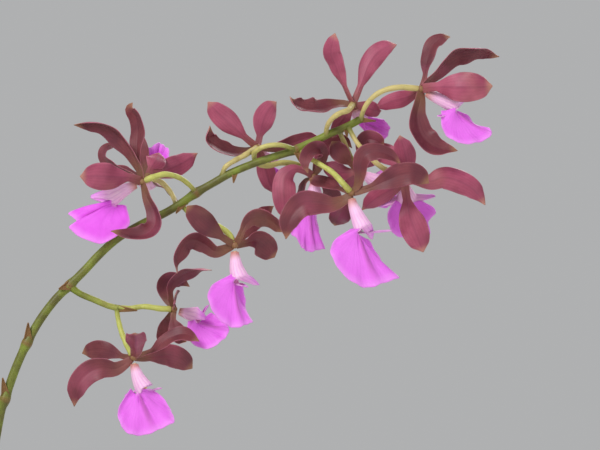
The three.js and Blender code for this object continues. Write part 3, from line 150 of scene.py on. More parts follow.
# Blooms. A heart is [x, z, y] in the part's frame, and a bloom's other points count from it.
# Pedicels are in the part's frame. A roll of 0 turns a tepal's inner face to the viewer.
# The lip's tubular base is a sleeve around the column, open on the side "open", and "lobes" are
# the tips of its two side lobes. "rim" goes around the lip's blade in nine stations: the near
# shoulder, the near side, the notch in the middle, the far side, the far shoulder.
BLOOMS = [
  {
    "heart": [79.2, 372.2, -12],
    "pedicel": [[100.4, 368, 0], [97.6, 371.2, -4], [93.6, 374, -8], [88.4, 375.2, -11], [83.6, 374, -12.4]],
    "tepals": [
      tepal_form("sepal", 10, 0.9, (-48, -56),
        [[-1.2, 5.6, 0], [-4.8, 12.8, 0], [-10, 18.8, 1], [-15.6, 22.2, 1], [-21.2, 23.2, 2],
          [-27.2, 22.6, 2]]),
      tepal_form("petal", 8.5, 0.4, (-36, -50),
        [[-1.4, 6.8, 2], [-2, 13.6, 4], [-1.6, 20, 6], [-2.4, 25.6, 7], [-4.8, 29.2, 7],
          [-4, 31.6, 6]]),
      tepal_form("petal", 7, 0.3, (-50, -60),
        [[-5.2, 3.6, 5], [-11.2, 5.8, 9], [-15.2, 8.8, 11], [-15.6, 12, 12], [-13.6, 14.2, 13],
          [-10.4, 15, 14]]),
      tepal_form("petal", 11.5, 0.4, (180, 180),
        [[-4.8, 1.6, -5], [-10.4, 1.8, -9], [-14.4, 2, -12], [-19.2, 2, -14], [-24, 2, -15]]),
      tepal_form("sepal", 9.5, 0.8, (40, 46),
        [[2.2, -6, -3], [5.2, -12, -5], [5.6, -16.8, -7], [2.8, -20.4, -9], [-2.8, -21.6, -10],
          [-12, -19.6, -11]]),
    ],
    "column": [[-4.4, -1.8, 0], [-8.8, -4, 0], [-12.4, -6.2, 0]], "open": [-0.5, 1, 0.9],
    "rim": [[-6.4, -9.2, -1.5], [-5.2, -17.6, -5], [-15.6, -24.4, -7], [-28.4, -19.2, -5],
      [-26, -16, -2],
      [-29.2, -12.4, 1], [-23.6, -11.2, 3], [-18, -9.6, 4], [-14.4, -7.6, 3]],
    "lobes": [[-20.8, -5.6, -2.5], [-19.5, -6.5, 6]],
  },
  {
    "heart": [80.8, 374.6, 12],
    "pedicel": [[92.4, 362.8, 1], [90.8, 367, 5.4], [86.8, 371.8, 7.4]],
    "tepals": [
      tepal_form("sepal", 9, 0.4, (180, 180),
        [[3.6, 1.2, 3], [8.4, 3.2, 8], [13.6, 5.6, 13], [19.6, 9.6, 16]]),
      tepal_form("petal", 9, 0.5, (180, 180),
        [[1.2, 3.4, 2], [2.8, 6, 4], [3.8, 8, 7], [4.2, 9.6, 9]]),
      tepal_form("sepal", 6, 0.3, (84, 84),
        [[3.2, -3, 3], [6.8, -4.8, 8], [9.8, -7.8, 12], [12.8, -11.4, 15]]),
      tepal_form("sepal", 7, 0.3, (10, 0),
        [[-2, 5, 4], [-3.2, 9.8, 8], [-4.4, 14.6, 12], [-5.4, 19.4, 15]]),
      tepal_form("petal", 8, 0.3, (0, 0),
        [[-5, 0.6, 6], [-10, 1, 13], [-15, 0.6, 19], [-18, 0.2, 24]]),
    ],
    "column": [[-0.6, -1, 5], [-0.4, -1.6, 10]], "open": [0, 1, 0.2],
    "rim": [[-1.6, 3.2, 8], [-2, 7.2, 11], [-1.6, 10.4, 14], [1.2, 12.4, 17],
      [4.4, 13.6, 20],
      [7.6, 11.6, 19], [8, 8.4, 15], [7.2, 5.2, 12], [4.4, 3.2, 9]],
    "lobes": [[-4.4, 1, 15], [4, 1, 15]],
  },
  {
    "heart": [124.8, 386.2, 8],
    "pedicel": [[110.8, 374.8, 0], [112.2, 378.2, -1.5], [116, 380.8, -2], [119.4, 382.6, -0.6],
      [121.6, 384, 1.8]],
    "tepals": [
      tepal_form("petal", 9.5, 0.5, (180, 172),
        [[-4.4, 3.6, -3], [-8.4, 7.2, -6], [-12.4, 10.8, -8], [-16.4, 14.4, -9], [-19.6, 18, -9]]),
      tepal_form("sepal", 9.5, 0.9, (48, 54),
        [[-4.4, -1.8, 1], [-10.4, -2.4, -2], [-16, -0.2, -6], [-19.6, 3.6, -8], [-18.8, 8.4, -10]]),
      tepal_form("petal", 9, 0.3, (180, 180),
        [[0.8, 3.6, 4], [1.6, 8, 8], [2.8, 12.4, 12], [4.8, 16, 15], [7.6, 18.8, 17]]),
      tepal_form("sepal", 7.5, 0.5, (180, 180),
        [[1.6, -4.4, 2], [3.2, -8.6, 4], [4.6, -13.4, 6], [6.8, -18.6, 8]]),
      tepal_form("sepal", 6, 0.3, (20, 0),
        [[4.4, -0.4, 1], [10.4, 0.6, 3], [16.4, 2.6, 5], [21.2, 4, 6], [26, 3.2, 6]]),
    ],
    "column": [[1.8, -2.2, 5.4], [4.4, -4.4, 10.4]], "open": [0.3, 1, 0.2],
    "rim": [[2.8, -8.4, 10], [2.8, -10.4, 13], [5.2, -12.8, 14], [8.8, -14.8, 15],
      [12, -14.8, 15],
      [14.4, -14, 16], [14, -11.6, 16], [10.4, -10, 14], [6.8, -8, 11]],
    "lobes": [[1, 1, 15], [10.6, 0.8, 14]],
  },
  {
    "heart": [147.6, 374.6, 6],
    "pedicel": [[139.6, 385.2, -1], [136, 386.6, -3.4], [132, 387, -4.4], [128, 386.4, -4.4], [125, 385, -3],
      [123.6, 383.4, 0.6], [124.6, 380, 4.4], [129, 378.8, 6.4], [135.2, 380, 7], [142, 378.8, 7]],
    "tepals": [
      tepal_form("petal", 10, 0.4, (180, 180),
        [[-3.6, 2, -3], [-8, 2.8, -5], [-11.6, -0.4, -6], [-12, -5.6, -7], [-11.6, -11.4, -7],
          [-10.4, -17.4, -6]]),
      tepal_form("sepal", 7, 0.6, (20, 20),
        [[2, 3.4, -2], [3.2, 8, -4], [1.6, 10.6, -9], [-2, 9, -14], [-3.4, 5, -17],
          [-2.4, 1, -17]]),
      tepal_form("petal", 8, 0.3, (0, 0),
        [[3.2, -2.6, 2], [6, -5.6, 5], [7.6, -9.8, 8], [7, -14.2, 11]]),
      tepal_form("sepal", 6, 0.3, (60, 60),
        [[-3.2, -2, 1], [-4.6, -5.2, 3], [-5.8, -8.8, 6], [-8, -12.2, 9]]),
      tepal_form("sepal", 6.5, 0.5, (-10, 10),
        [[1.6, 5.6, 4], [4, 10.6, 8], [7.8, 14, 10], [12.4, 14.4, 10], [15.4, 11.4, 9]]),
    ],
    "column": [[0.2, -5, 0], [0.2, -9.6, 0]], "open": [0.6, 0.2, 1],
    "rim": [[-3.6, -12, -2], [-8.8, -21.2, -4], [-6.8, -25.6, -4], [-4, -29.6, -4],
      [0, -30, -3],
      [4, -28.8, -1], [2.8, -24.8, 2], [1.2, -19.6, 4], [0.8, -12.8, 3]],
    "lobes": [[5, -14, 4], [-4.6, -14, -1]],
  },
  {
    "heart": [162.4, 367.8, -13],
    "pedicel": [[142.6, 384.4, -0.8], [145.6, 381.8, -4.6], [149.6, 379.4, -7], [154.8, 376, -10.4],
      [158.8, 371.8, -15]],
    "tepals": [
      tepal_form("sepal", 10.5, 0.6, (20, 0),
        [[-2.8, -2.8, 0], [-7.6, -4.8, -1], [-13.2, -4.4, -2], [-18.8, -4.6, -3],
          [-22.8, -7.8, -3], [-25.2, -12.6, -3], [-26, -18.4, -2]]),
      tepal_form("petal", 7, 0.4, (30, 40),
        [[-4, 1.4, 3], [-8.4, 3.2, 8], [-12.6, 4.6, 12], [-16.8, 5.6, 15]]),
      tepal_form("sepal", 9, 0.4, (0, 0),
        [[-2, -4, 5], [-3.8, -7.6, 10], [-5.4, -10.4, 15], [-6.6, -13, 19]]),
      tepal_form("sepal", 8, 0.6, (-20, -30),
        [[2.4, 2.8, -1], [3.6, 7.2, -2], [4, 11.6, -3], [6, 15, -4], [10.8, 16, -4],
          [15.6, 14.4, -4], [19.6, 11.4, -3]]),
      tepal_form("petal", 10, 0.5, (-10, 0),
        [[3.6, 0.8, -1], [8.4, 2.4, -2], [14, 4.8, -3], [19.6, 7, -3], [25.2, 7.4, -3],
          [30.8, 3.8, -2]]),
    ],
    "column": [[0.8, -4.8, -1], [2.8, -9.6, -2], [5, -14.2, -3]], "open": [0.9, 0.35, 0.8],
    "rim": [[-0.4, -14.4, -3], [-7.2, -19.6, -8], [-6.8, -28, -10], [2.4, -36.8, -10],
      [10.8, -36.4, -8],
      [18.4, -33.6, -4], [14, -29.6, 0], [10, -24.4, 2], [7.2, -18.4, 0]],
    "lobes": [[16.6, -14.8, -1], [9, -18, 4]],
  },
  {
    "heart": [183.6, 372.6, -4],
    "pedicel": [[161.4, 394, -0.8], [164.6, 388.2, -2.6], [168, 384.2, -3.6], [172.8, 379.4, -6],
      [178.2, 375.8, -8]],
    "tepals": [
      tepal_form("sepal", 10, 0.6, (160, 180),
        [[4.4, 0.4, 0], [10.4, -0.2, 0], [15.2, 1.4, 0], [20.8, 0.4, 0], [26.4, -2.4, 0],
          [30, -6, 1], [32.4, -9.6, 1]]),
      tepal_form("petal", 11.5, 0.4, (180, 180),
        [[0.4, -3.6, -1], [1.2, -8.4, -2], [2, -13.2, -3], [3.6, -18, -3], [5.6, -23.2, -3],
          [7.6, -28.4, -2]]),
      tepal_form("sepal", 8, 0.5, (180, 160),
        [[-3.2, -2.6, 2], [-7.6, -4.8, 5], [-11.8, -7.4, 8], [-16.8, -11.6, 11]]),
      tepal_form("sepal", 9, 0.5, (180, 180),
        [[1, 3.6, -2], [0.6, 8.4, -5], [-0.6, 13.2, -8], [-2, 18, -10]]),
      tepal_form("petal", 8.5, 0.3, (180, 180),
        [[-1.4, 5, 2], [-4.4, 9.2, 5], [-8.2, 11.4, 9], [-13, 12, 13]]),
    ],
    "column": [[0.4, -3, 4], [1, -6.4, 7.6]], "open": [0, 0.7, 0.9],
    "rim": [[-3.6, -7.6, 5], [-6.4, -13.2, 6], [-5.2, -19.6, 8], [-0.4, -22.8, 9],
      [5.6, -23.6, 11],
      [10.4, -20.8, 10], [10, -16.4, 8], [12.8, -11.6, 7], [7.2, -8, 5]],
    "lobes": [[-11.4, -9.6, 12], [12.8, -5.6, 10]],
  },
  {
    "heart": [163.2, 403.4, 2],
    "pedicel": [[152.4, 390.6, 0], [152.8, 394.2, -3], [154.8, 397.4, -6.4], [158, 399.6, -8],
      [161.2, 400.8, -5.6]],
    "tepals": [
      tepal_form("petal", 8.5, 0.5, (130, 160),
        [[-2.8, 5.6, -1], [-5.2, 11.2, -2], [-7.2, 16, -3], [-8.8, 19.8, -4], [-8.4, 23.8, -5],
          [-7.2, 28.2, -6]]),
      tepal_form("petal", 9, 0.7, (180, 170),
        [[2, 4.8, 1], [4, 10, 2], [6, 15.2, 3], [8.8, 19.6, 4], [12.8, 22.8, 5], [17.6, 24, 6]]),
      tepal_form("sepal", 10.5, 0.9, (48, 56),
        [[-4.2, 0, 0.4], [-9.4, -1.2, -2], [-14.8, -2.4, -5], [-20.4, -1.6, -7],
          [-24, 0.4, -8], [-25.2, 2.8, -8]]),
      tepal_form("sepal", 6.5, 0.4, (180, 180),
        [[-2, -3.4, 1], [-4.4, -6.8, 3], [-6.4, -10.2, 5], [-8.4, -13.4, 6]]),
      tepal_form("sepal", 6.5, 0.5, (180, 180),
        [[4.4, -1, 1], [7.6, -2, 2], [9.8, -2.6, 4], [11.4, -2.6, 6]]),
    ],
    "column": [[1.4, -1.4, 5], [3.2, -3, 10]], "open": [1, 0.6, 0.3],
    "rim": [[4.4, -6.8, 12], [5.6, -10.4, 14], [8.4, -14, 16], [11.6, -15.8, 17],
      [14.4, -11.6, 18],
      [14.8, -8.8, 17], [13.2, -6.4, 16], [10.8, -5.6, 14], [7.2, -5.2, 12]],
    "lobes": [[8, 1, 14], [6, 0, 16]],
  },
  {
    "heart": [190.4, 409.4, -3],
    "pedicel": [[166.2, 396.6, 0], [167.2, 400.4, -1], [169.2, 404, -2.4], [172.6, 407.2, -3.4],
      [177, 409.2, -4], [182, 410, -4], [185.6, 409.8, -3.6]],
    "tepals": [
      tepal_form("petal", 8, 0.5, (-36, -44),
        [[1.6, 4.8, 3], [2.4, 9.6, 6], [3.6, 14, 8], [5.6, 18, 10], [8.8, 20.6, 11],
          [12, 21.2, 12]]),
      tepal_form("sepal", 10.5, 0.9, (46, 54),
        [[2.8, 2.8, 0], [6.4, 6.4, -1], [10, 10.8, -1], [14.4, 14, -1], [20, 15.2, -1],
          [25.6, 14.8, 0], [31.2, 12.8, 0]]),
      tepal_form("petal", 12.5, 0.4, (180, 180),
        [[4.4, 0.6, -5], [9.6, 0.6, -9], [14, 0.4, -12], [19, 0.4, -13], [23.6, 0.4, -13],
          [28, 0.8, -13]]),
      tepal_form("sepal", 11, 0.8, (-24, -34),
        [[-0.6, -4.8, -1], [-1.8, -10.4, -2], [-1.2, -16, -3], [1.6, -20.8, -4],
          [6.8, -24, -4], [14.4, -24.8, -4]]),
      tepal_form("sepal", 7, 0.4, (180, 180),
        [[-3.2, -2.2, 4], [-7.6, -3.8, 8], [-12.4, -5, 12], [-18.4, -7.4, 15]]),
    ],
    "column": [[4.4, -2.6, 0], [9.6, -4.6, 0], [14.6, -6.4, -0.4]], "open": [0.5, 1, 0.8],
    "rim": [[7.6, -9.2, -2], [8.4, -15.6, -5], [13.6, -21.4, -6], [22, -21.8, -5],
      [28, -18, -3],
      [26.4, -15.8, -1], [22, -14, 2], [18, -10.4, 4], [14, -8.4, 3]],
    "lobes": [[6.6, -10.6, -4.5], [18, -4, 6]],
  },
  {
    "heart": [116, 347, -8],
    "pedicel": [[94.6, 363, 0], [98, 359.4, 0], [102.4, 357.4, -2.6], [106.8, 355.6, -5],
      [110.8, 353.8, -6.6], [114, 351, -7.4]],
    "tepals": [
      tepal_form("petal", 9.5, -0.3, (0, 10),
        [[-3.8, 2.4, -3], [-8, 5.6, -6], [-12, 9, -9], [-15.6, 12.4, -11], [-18.8, 15.6, -12]]),
      tepal_form("sepal", 9.5, 0.6, (-14, -70),
        [[-2.8, -1.2, 0], [-7.6, -2.4, -1], [-11.6, 0.4, -2], [-16, 2.4, -3], [-20, 0.8, -4],
          [-22.4, -3.6, -5], [-23.2, -7.6, -5], [-22.8, -11.2, -4]]),
      tepal_form("petal", 9, 0.4, (0, 60),
        [[2.2, 3.6, -2], [4, 7.6, -2], [6.8, 10.6, -2], [10.8, 11.2, -1], [14.8, 9.6, 0],
          [19.6, 5.2, 0]]),
      tepal_form("petal", 10.5, 0.3, (0, 0),
        [[4.6, 0.8, 3], [8.6, 1.6, 7], [12, -0.8, 11], [15.8, -5, 14]]),
      tepal_form("sepal", 7, 0.4, (0, 0),
        [[3, 4, 5], [6.8, 8.4, 10], [11, 12.4, 15], [15.4, 15.6, 19]]),
    ],
    "column": [[0.3, -4.8, 0], [1, -9.4, -1], [2.4, -13.4, -2]], "open": [0.9, 0.35, 0.8],
    "rim": [[-1.6, -11.6, -3], [-9.2, -16.4, -7], [-9.6, -24.8, -9], [-2.8, -32, -9],
      [3.2, -32, -8],
      [6.8, -30.4, -4], [4.8, -26, -1], [3.8, -20.8, 1], [3.2, -15.6, 0]],
    "lobes": [[5.8, -16.6, -5], [10.2, -16, 3]],
  },
  {
    "heart": [91.6, 321.4, -2],
    "pedicel": [[68, 322.2, -1], [74, 321.8, -1.2], [80, 322.4, -1.8], [86.2, 321.6, -2.6]],
    "tepals": [
      tepal_form("petal", 8, 0.5, (0, 90),
        [[-1.2, 4.4, -2], [-1.2, 8.8, -4], [1.2, 12.2, -5], [5.6, 14.8, -5], [10.4, 16, -5],
          [15.2, 15.6, -4]]),
      tepal_form("sepal", 7, 0.5, (0, 0),
        [[-2.8, 4.2, 3], [-4, 8.4, 7], [-2, 11.4, 11], [2.4, 11, 14], [6, 8.8, 15]]),
      tepal_form("sepal", 6, 0.3, (90, 90),
        [[0.4, 2.6, -5], [0.8, 4.4, -11], [1.2, 5.6, -17], [1, 5.8, -22]]),
      tepal_form("petal", 7.5, 0.5, (0, 0),
        [[-0.2, -4.4, -1], [1, -8.2, -2], [2.8, -11, -3], [5, -13, -4]]),
      tepal_form("sepal", 7.5, 0.3, (0, 0),
        [[-1.4, -4, 4], [-2.8, -8, 8], [-4.4, -11.4, 11], [-5.8, -14.6, 14]]),
    ],
    "column": [[4.4, -1.2, -0.6], [9.4, -2, -1.4]], "open": [0.1, 1, 0.5],
    "rim": [[5.6, -5.2, -2], [5.6, -10.8, -5], [12.4, -16, -6], [19.6, -12.4, -6],
      [22, -7.6, -4],
      [20, -4.8, -1], [16.8, -2.4, 2], [14.4, -2, 3], [11.6, -4, 1]],
    "lobes": [[14, 2.2, 4], [13, -3, -5]],
  },
  {
    "heart": [75.6, 302.2, -6],
    "pedicel": [[68.6, 322, -1], [69.4, 317, -1.6], [70.8, 312, -3], [73, 307, -4.8]],
    "tepals": [
      tepal_form("sepal", 9.5, 0.5, (-10, 10),
        [[-3.6, -2.8, 0], [-7.6, -4.6, -1], [-12.4, -4.2, -2], [-17.2, -5.6, -2],
          [-21.2, -9.6, -2], [-23.2, -14.8, -1], [-23.6, -19.6, 0]]),
      tepal_form("petal", 8, 0.2, (20, 0),
        [[-4, 0.2, 4], [-8.8, 1.6, 8], [-13.6, 2.6, 12], [-17.6, 2.4, 15], [-21.2, 1.2, 17]]),
      tepal_form("sepal", 10, 1.1, (180, 180),
        [[1, 2.4, -5], [1.2, 5, -11], [1.4, 7.8, -17], [1.4, 10.2, -22]]),
      tepal_form("petal", 7.5, 0.5, (-36, -44),
        [[3.2, 1.2, -1], [7.6, 2.8, -3], [11.2, 5.4, -5], [15.2, 8, -6], [20.4, 9.2, -7],
          [26.4, 6.6, -7]]),
      tepal_form("petal", 9.5, 0.2, (0, 0),
        [[4.4, -0.4, 3], [9.2, 0.2, 6], [14, 0.6, 9], [18.8, -1.2, 11], [23.2, -4.8, 13]]),
    ],
    "column": [[0.8, -4.4, 0], [2.4, -8.6, -1], [4.8, -12.6, -2]], "open": [0.9, 0.35, 0.8],
    "rim": [[-1.2, -12.4, -3], [-5.6, -20, -6], [-4.8, -26.8, -8], [0.4, -30.8, -9],
      [8.8, -29.2, -7],
      [16, -25.6, -6], [15.2, -21.2, -3], [11.2, -15.6, -1], [6.8, -12.4, -1]],
    "lobes": [[11.6, -12, 2], [-3, -15, 2]],
  },
  {
    "heart": [165.2, 377, 6],
    "pedicel": [[157.6, 392.8, 0.8], [159.2, 389.4, 7], [161.8, 383.6, 13.4], [163.8, 379.4, 13]],
    "tepals": [
      tepal_form("petal", 8, 0.5, (0, 10),
        [[1, 4.8, -1], [1.8, 9.2, -2], [3.6, 12.2, -3], [7.2, 11.8, -4], [10.4, 9.4, -4]]),
      tepal_form("petal", 8.5, 0.8, (0, 0),
        [[-3, 2.8, -1], [-6, 5.6, -2], [-8.4, 8.4, -2], [-10.4, 11.6, -3]]),
      tepal_form("sepal", 7.5, 0.4, (180, 180),
        [[-3.6, -1, 1], [-7.4, -0.8, 3], [-11, 1, 5], [-14, 3, 8]]),
      tepal_form("sepal", 8, 0.4, (180, 180),
        [[-1, -4, 5], [-2.4, -7.4, 10], [-3.6, -10.4, 15]]),
      tepal_form("sepal", 7, 0.4, (180, 180),
        [[3, 3, 5], [6, 5.4, 10], [10.4, 6.6, 13], [14.6, 8, 15]]),
    ],
    "column": [[3.4, -1.6, 1], [6.6, -3, 2]], "open": [0.2, 1, 0.1],
    "rim": [[4.8, -8, 1], [6, -12, 2], [8.8, -14.8, 3], [12.8, -14.4, 4],
      [15.6, -9.2, 4],
      [14.8, -5.2, 5], [12, -2.4, 5], [10, -1.2, 5], [8, -2.8, 4]],
    "lobes": [[11.4, 1.2, 3], [10, -7, -1]],
  },
]

# Tepals, columns and lips. Millimetres.
COLUMN_RADIUS = 1.5
COLUMN_SHARE = 0.86
SLEEVE_START = 0.03
SLEEVE_RADII = (1.45, 3.9)
SLEEVE_WRAP = 112
LOBE_INNER = 0.3
LOBE_MIDDLE = 0.72
LIP_SPAN = 38
LIP_SWELL = 1.4
LIP_SWELL_FADE = 0.6
LIP_SHOULDER = 0.125
TEPAL_SHAPES = {
    "sepal": {"claw": 0.0, "claw_width": 0.27, "widest": 0.58, "tip": 0.2, "point": 0.17},
    "petal": {"claw": 0.24, "claw_width": 0.3, "widest": 0.56, "tip": 0.22, "point": 0.09},
}
FRAME_STEPS = 48
TEPAL_CELLS = 20
TEPAL_CREASE = 0.6
MIDRIB_DEPTH = 0.012


def paint(code):
    """The linear colour of a six-figure hex code."""
    parts = [int(code[i:i + 2], 16) / 255 for i in (1, 3, 5)]
    return tuple(c / 12.92 if c <= 0.04045 else ((c + 0.055) / 1.055) ** 2.4 for c in parts)


def place(station):
    x, z, y = station
    return Vector((x, y, z))


def lerp(a, b, share):
    return a + (b - a) * share


def smoothstep(value, low, high):
    share = min(max((value - low) / (high - low), 0.0), 1.0)
    return share * share * (3 - 2 * share)


def seeded(seed):
    """The same run of random numbers that scatters the solids."""
    state = seed

    def draw():
        nonlocal state
        state = (state * 1664525 + 1013904223) % 4294967296
        return state / 4294967296
    return draw


class Path:
    """A smooth curve through points, walked by its length."""

    def __init__(self, points, stops=240):
        self.points = points
        self.stops = stops
        marks = [self.at_knot(i / stops) for i in range(stops + 1)]
        self.lengths = [0.0]
        for a, b in zip(marks, marks[1:]):
            self.lengths.append(self.lengths[-1] + (b - a).length)

    def at_knot(self, t):
        last = len(self.points) - 1
        start = min(int(t * last), last - 1)
        w = t * last - start
        p = self.points
        before = p[start - 1] if start > 0 else 2 * p[0] - p[1]
        after = p[start + 2] if start + 2 <= last else 2 * p[last] - p[last - 1]
        a, b = p[start], p[start + 1]
        t0 = (b - before) * 0.5
        t1 = (after - a) * 0.5
        return a + t0 * w + (3 * (b - a) - 2 * t0 - t1) * w * w + (2 * (a - b) + t0 + t1) * w ** 3

    def knot(self, share):
        goal = min(max(share, 0.0), 1.0) * self.lengths[-1]
        i = min(max(bisect.bisect_left(self.lengths, goal), 1), self.stops)
        step = self.lengths[i] - self.lengths[i - 1]
        return (i - 1 + ((goal - self.lengths[i - 1]) / step if step else 0)) / self.stops

    def at(self, share):
        return self.at_knot(self.knot(share))

    def tangent(self, share):
        t = self.knot(share)
        return (self.at_knot(min(t + 1e-4, 1)) - self.at_knot(max(t - 1e-4, 0))).normalized()


def frames_along(path, steps):
    """Steady frames: the face leans to -Y where the curve lets it, and the side is across it."""
    frames = []
    carried = None
    for i in range(steps + 1):
        tangent = path.tangent(i / steps)
        face = Vector((0, -1, 0))
        face -= face.dot(tangent) * tangent
        strength = smoothstep(face.length, 0.05, 0.4)
        face = face.normalized() if face.length > 1e-4 else Vector((0, 0, 1))
        if carried:
            kept = (carried - carried.dot(tangent) * tangent).normalized()
            face = (face * strength + kept * (1 - strength)).normalized()
        carried = face
        frames.append((path.at(i / steps), tangent, face, tangent.cross(face)))
    return frames


class Skin:
    """A surface being laid: points in millimetres, faces, and the marks that its finish reads."""

    MARKS = ("along", "across", "inner", "tint")

    def __init__(self):
        self.points = []
        self.faces = []
        self.slots = []
        self.marks = {mark: [] for mark in self.MARKS}

    def point(self, position, along=0.0, across=0.0, inner=0.0, tint=0.0):
        self.points.append(position * MM)
        for mark, value in zip(self.MARKS, (along, across, inner, tint)):
            self.marks[mark].append(value)
        return len(self.points) - 1

    def face(self, corners, slot):
        self.faces.append(corners)
        self.slots.append(slot)

    def rings(self, rows, slot=0, closed=True):
        """Joins rows of points round and round, and closes both ends with a fan."""
        count = len(rows[0])
        for low, high in zip(rows, rows[1:]):
            for j in range(count if closed else count - 1):
                k = (j + 1) % count
                self.face((low[j], low[k], high[k], high[j]), slot)
        if closed:
            self.face(tuple(reversed(rows[0])), slot)
            self.face(tuple(rows[-1]), slot)

    def blade(self, grid, thickness, tint=0.0, slot=0):
        """Gives a grid of points two faces and a rim. The inner face looks along across x along."""
        last_row, last = len(grid) - 1, len(grid[0]) - 1
        sheets = ([], [])
        for i, row in enumerate(grid):
            lines = ([], [])
            for j, point in enumerate(row):
                along = grid[min(i + 1, last_row)][j] - grid[max(i - 1, 0)][j]
                across = row[min(j + 1, last)] - row[max(j - 1, 0)]
                normal = across.cross(along).normalized()
                u, v = i / last_row, 2 * j / last - 1
                half = thickness(u, v) / 2
                for line, side in zip(lines, (1, -1)):
                    line.append(self.point(point + normal * half * side, u, v, (side + 1) / 2, tint))
            sheets[0].append(lines[0])
            sheets[1].append(lines[1])
        top, under = sheets
        for i in range(last_row):
            for j in range(last):
                self.face((top[i][j], top[i][j + 1], top[i + 1][j + 1], top[i + 1][j]), slot)
                self.face((under[i][j], under[i + 1][j], under[i + 1][j + 1], under[i][j + 1]), slot)
            self.face((top[i][0], top[i + 1][0], under[i + 1][0], under[i][0]), slot)
            self.face((top[i + 1][last], top[i][last], under[i][last], under[i + 1][last]), slot)
        for j in range(last):
            self.face((top[0][j + 1], top[0][j], under[0][j], under[0][j + 1]), slot)
            self.face((top[-1][j], top[-1][j + 1], under[-1][j + 1], under[-1][j]), slot)

    def ball(self, centre, radius, stretch=None, slot=0, marks=None, turns=16, rows=10):
        """A ball, longer along stretch if that is given."""
        marks = marks or {}
        laid = []
        for i in range(1, rows):
            tilt = math.pi * i / rows
            ring = []
            for j in range(turns):
                turn = 2 * math.pi * j / turns
                spot = Vector((math.sin(tilt) * math.cos(turn), math.sin(tilt) * math.sin(turn),
                               math.cos(tilt)))
                if stretch:
                    spot += stretch * spot.dot(stretch.normalized())
                ring.append(self.point(centre + spot * radius, **marks))
            laid.append(ring)
        self.rings(laid, slot)

    def build(self, name, finishes):
        mesh = bpy.data.meshes.new(name)
        mesh.from_pydata(self.points, [], self.faces)
        for mark, values in self.marks.items():
            mesh.attributes.new(mark, "FLOAT", "POINT").data.foreach_set("value", values)
        for finish in finishes:
            mesh.materials.append(finish.material)
        mesh.polygons.foreach_set("material_index", self.slots)
        mesh.polygons.foreach_set("use_smooth", [True] * len(self.faces))
        shaped = bmesh.new()
        shaped.from_mesh(mesh)
        bmesh.ops.recalc_face_normals(shaped, faces=shaped.faces)
        shaped.to_mesh(mesh)
        shaped.free()
        piece = bpy.data.objects.new(name, mesh)
        bpy.context.scene.collection.objects.link(piece)
        return piece


def settle(piece, slot, *nodes):
    """The piece moves with the plant's body and stands for its solids, which are hidden."""
    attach(piece, "root")
    if nodes:
        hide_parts(*nodes)


class Reading:
    """A socket of a finish. Python's operators on it add Math nodes."""

    def __init__(self, finish, socket):
        self.finish = finish
        self.socket = socket

    def math(self, operation, *terms):
        return self.finish.node("ShaderNodeMath", {"operation": operation}, dict(enumerate(terms)))

    def __add__(self, other):
        return self.math("ADD", self, other)

    __radd__ = __add__

    def __sub__(self, other):
        return self.math("SUBTRACT", self, other)

    def __rsub__(self, other):
        return self.math("SUBTRACT", other, self)

    def __mul__(self, other):
        return self.math("MULTIPLY", self, other)

    __rmul__ = __mul__

    def __pow__(self, other):
        return self.math("POWER", self, other)

    def __abs__(self):
        return self.math("ABSOLUTE", self)

    def sine(self):
        return self.math("SINE", self)

    def ramp(self, low, high):
        """0 at low, 1 at high, and smooth between them."""
        return self.finish.node("ShaderNodeMapRange", {"interpolation_type": "SMOOTHSTEP"},
                                {0: self, 1: low, 2: high})


class Finish:
    """One material. Its nodes are all made by one method."""

    def __init__(self, name, **fixed):
        self.material = bpy.data.materials.new(name)
        self.material.use_nodes = True
        self.tree = self.material.node_tree
        self.shader = self.tree.nodes["Principled BSDF"]
        for label, value in fixed.items():
            self.shader.inputs[label.replace("_", " ")].default_value = value
        self.spot = self.node("ShaderNodeTexCoord", output=3)

    def node(self, kind, settings=None, sockets=None, output=0):
        node = self.tree.nodes.new(kind)
        for label, value in (settings or {}).items():
            setattr(node, label, value)
        for label, value in (sockets or {}).items():
            self.feed(node.inputs[label], value)
        return Reading(self, node.outputs[output])

    def feed(self, socket, value):
        if isinstance(value, Reading):
            self.tree.links.new(value.socket, socket)
        elif isinstance(value, tuple) and len(value) == 3 and socket.type == "RGBA":
            socket.default_value = (*value, 1.0)
        else:
            socket.default_value = value

    def mark(self, name):
        return self.node("ShaderNodeAttribute", {"attribute_name": name}, output=2)

    def grain(self, scale, detail=3.0, stretch=(1, 1, 1)):
        """Noise between 0 and 1, with scale in features to the metre."""
        spot = self.node("ShaderNodeMapping", None, {"Vector": self.spot, "Scale": stretch})
        return self.node("ShaderNodeTexNoise", None, {"Vector": spot, "Scale": scale, "Detail": detail})

    def cells(self, scale, stretch=(1, 1, 1)):
        spot = self.node("ShaderNodeMapping", None, {"Vector": self.spot, "Scale": stretch})
        return self.node("ShaderNodeTexVoronoi", None, {"Vector": spot, "Scale": scale})

    def mix(self, share, low, high):
        return self.node("ShaderNodeMix", {"data_type": "RGBA"}, {0: share, 6: low, 7: high}, output=2)

    def dress(self, colour, roughness, height=None, depth=0.2, strength=1.0):
        """Feeds the shader. Depth is the height of the relief in millimetres."""
        self.feed(self.shader.inputs["Base Color"], colour)
        self.feed(self.shader.inputs["Roughness"], roughness)
        if height:
            relief = self.node("ShaderNodeBump", None,
                               {"Strength": strength, "Distance": depth * MM, "Height": height})
            self.feed(self.shader.inputs["Normal"], relief)
        return self


# Geometry node trees.
def new_tree(name, inputs):
    tree = bpy.data.node_groups.new(name, "GeometryNodeTree")
    tree.interface.new_socket("Geometry", in_out="INPUT", socket_type="NodeSocketGeometry")
    for label, kind, value in inputs:
        socket = tree.interface.new_socket(label, in_out="INPUT", socket_type=kind)
        if value is not None:
            socket.default_value = value
    tree.interface.new_socket("Geometry", in_out="OUTPUT", socket_type="NodeSocketGeometry")
    return tree


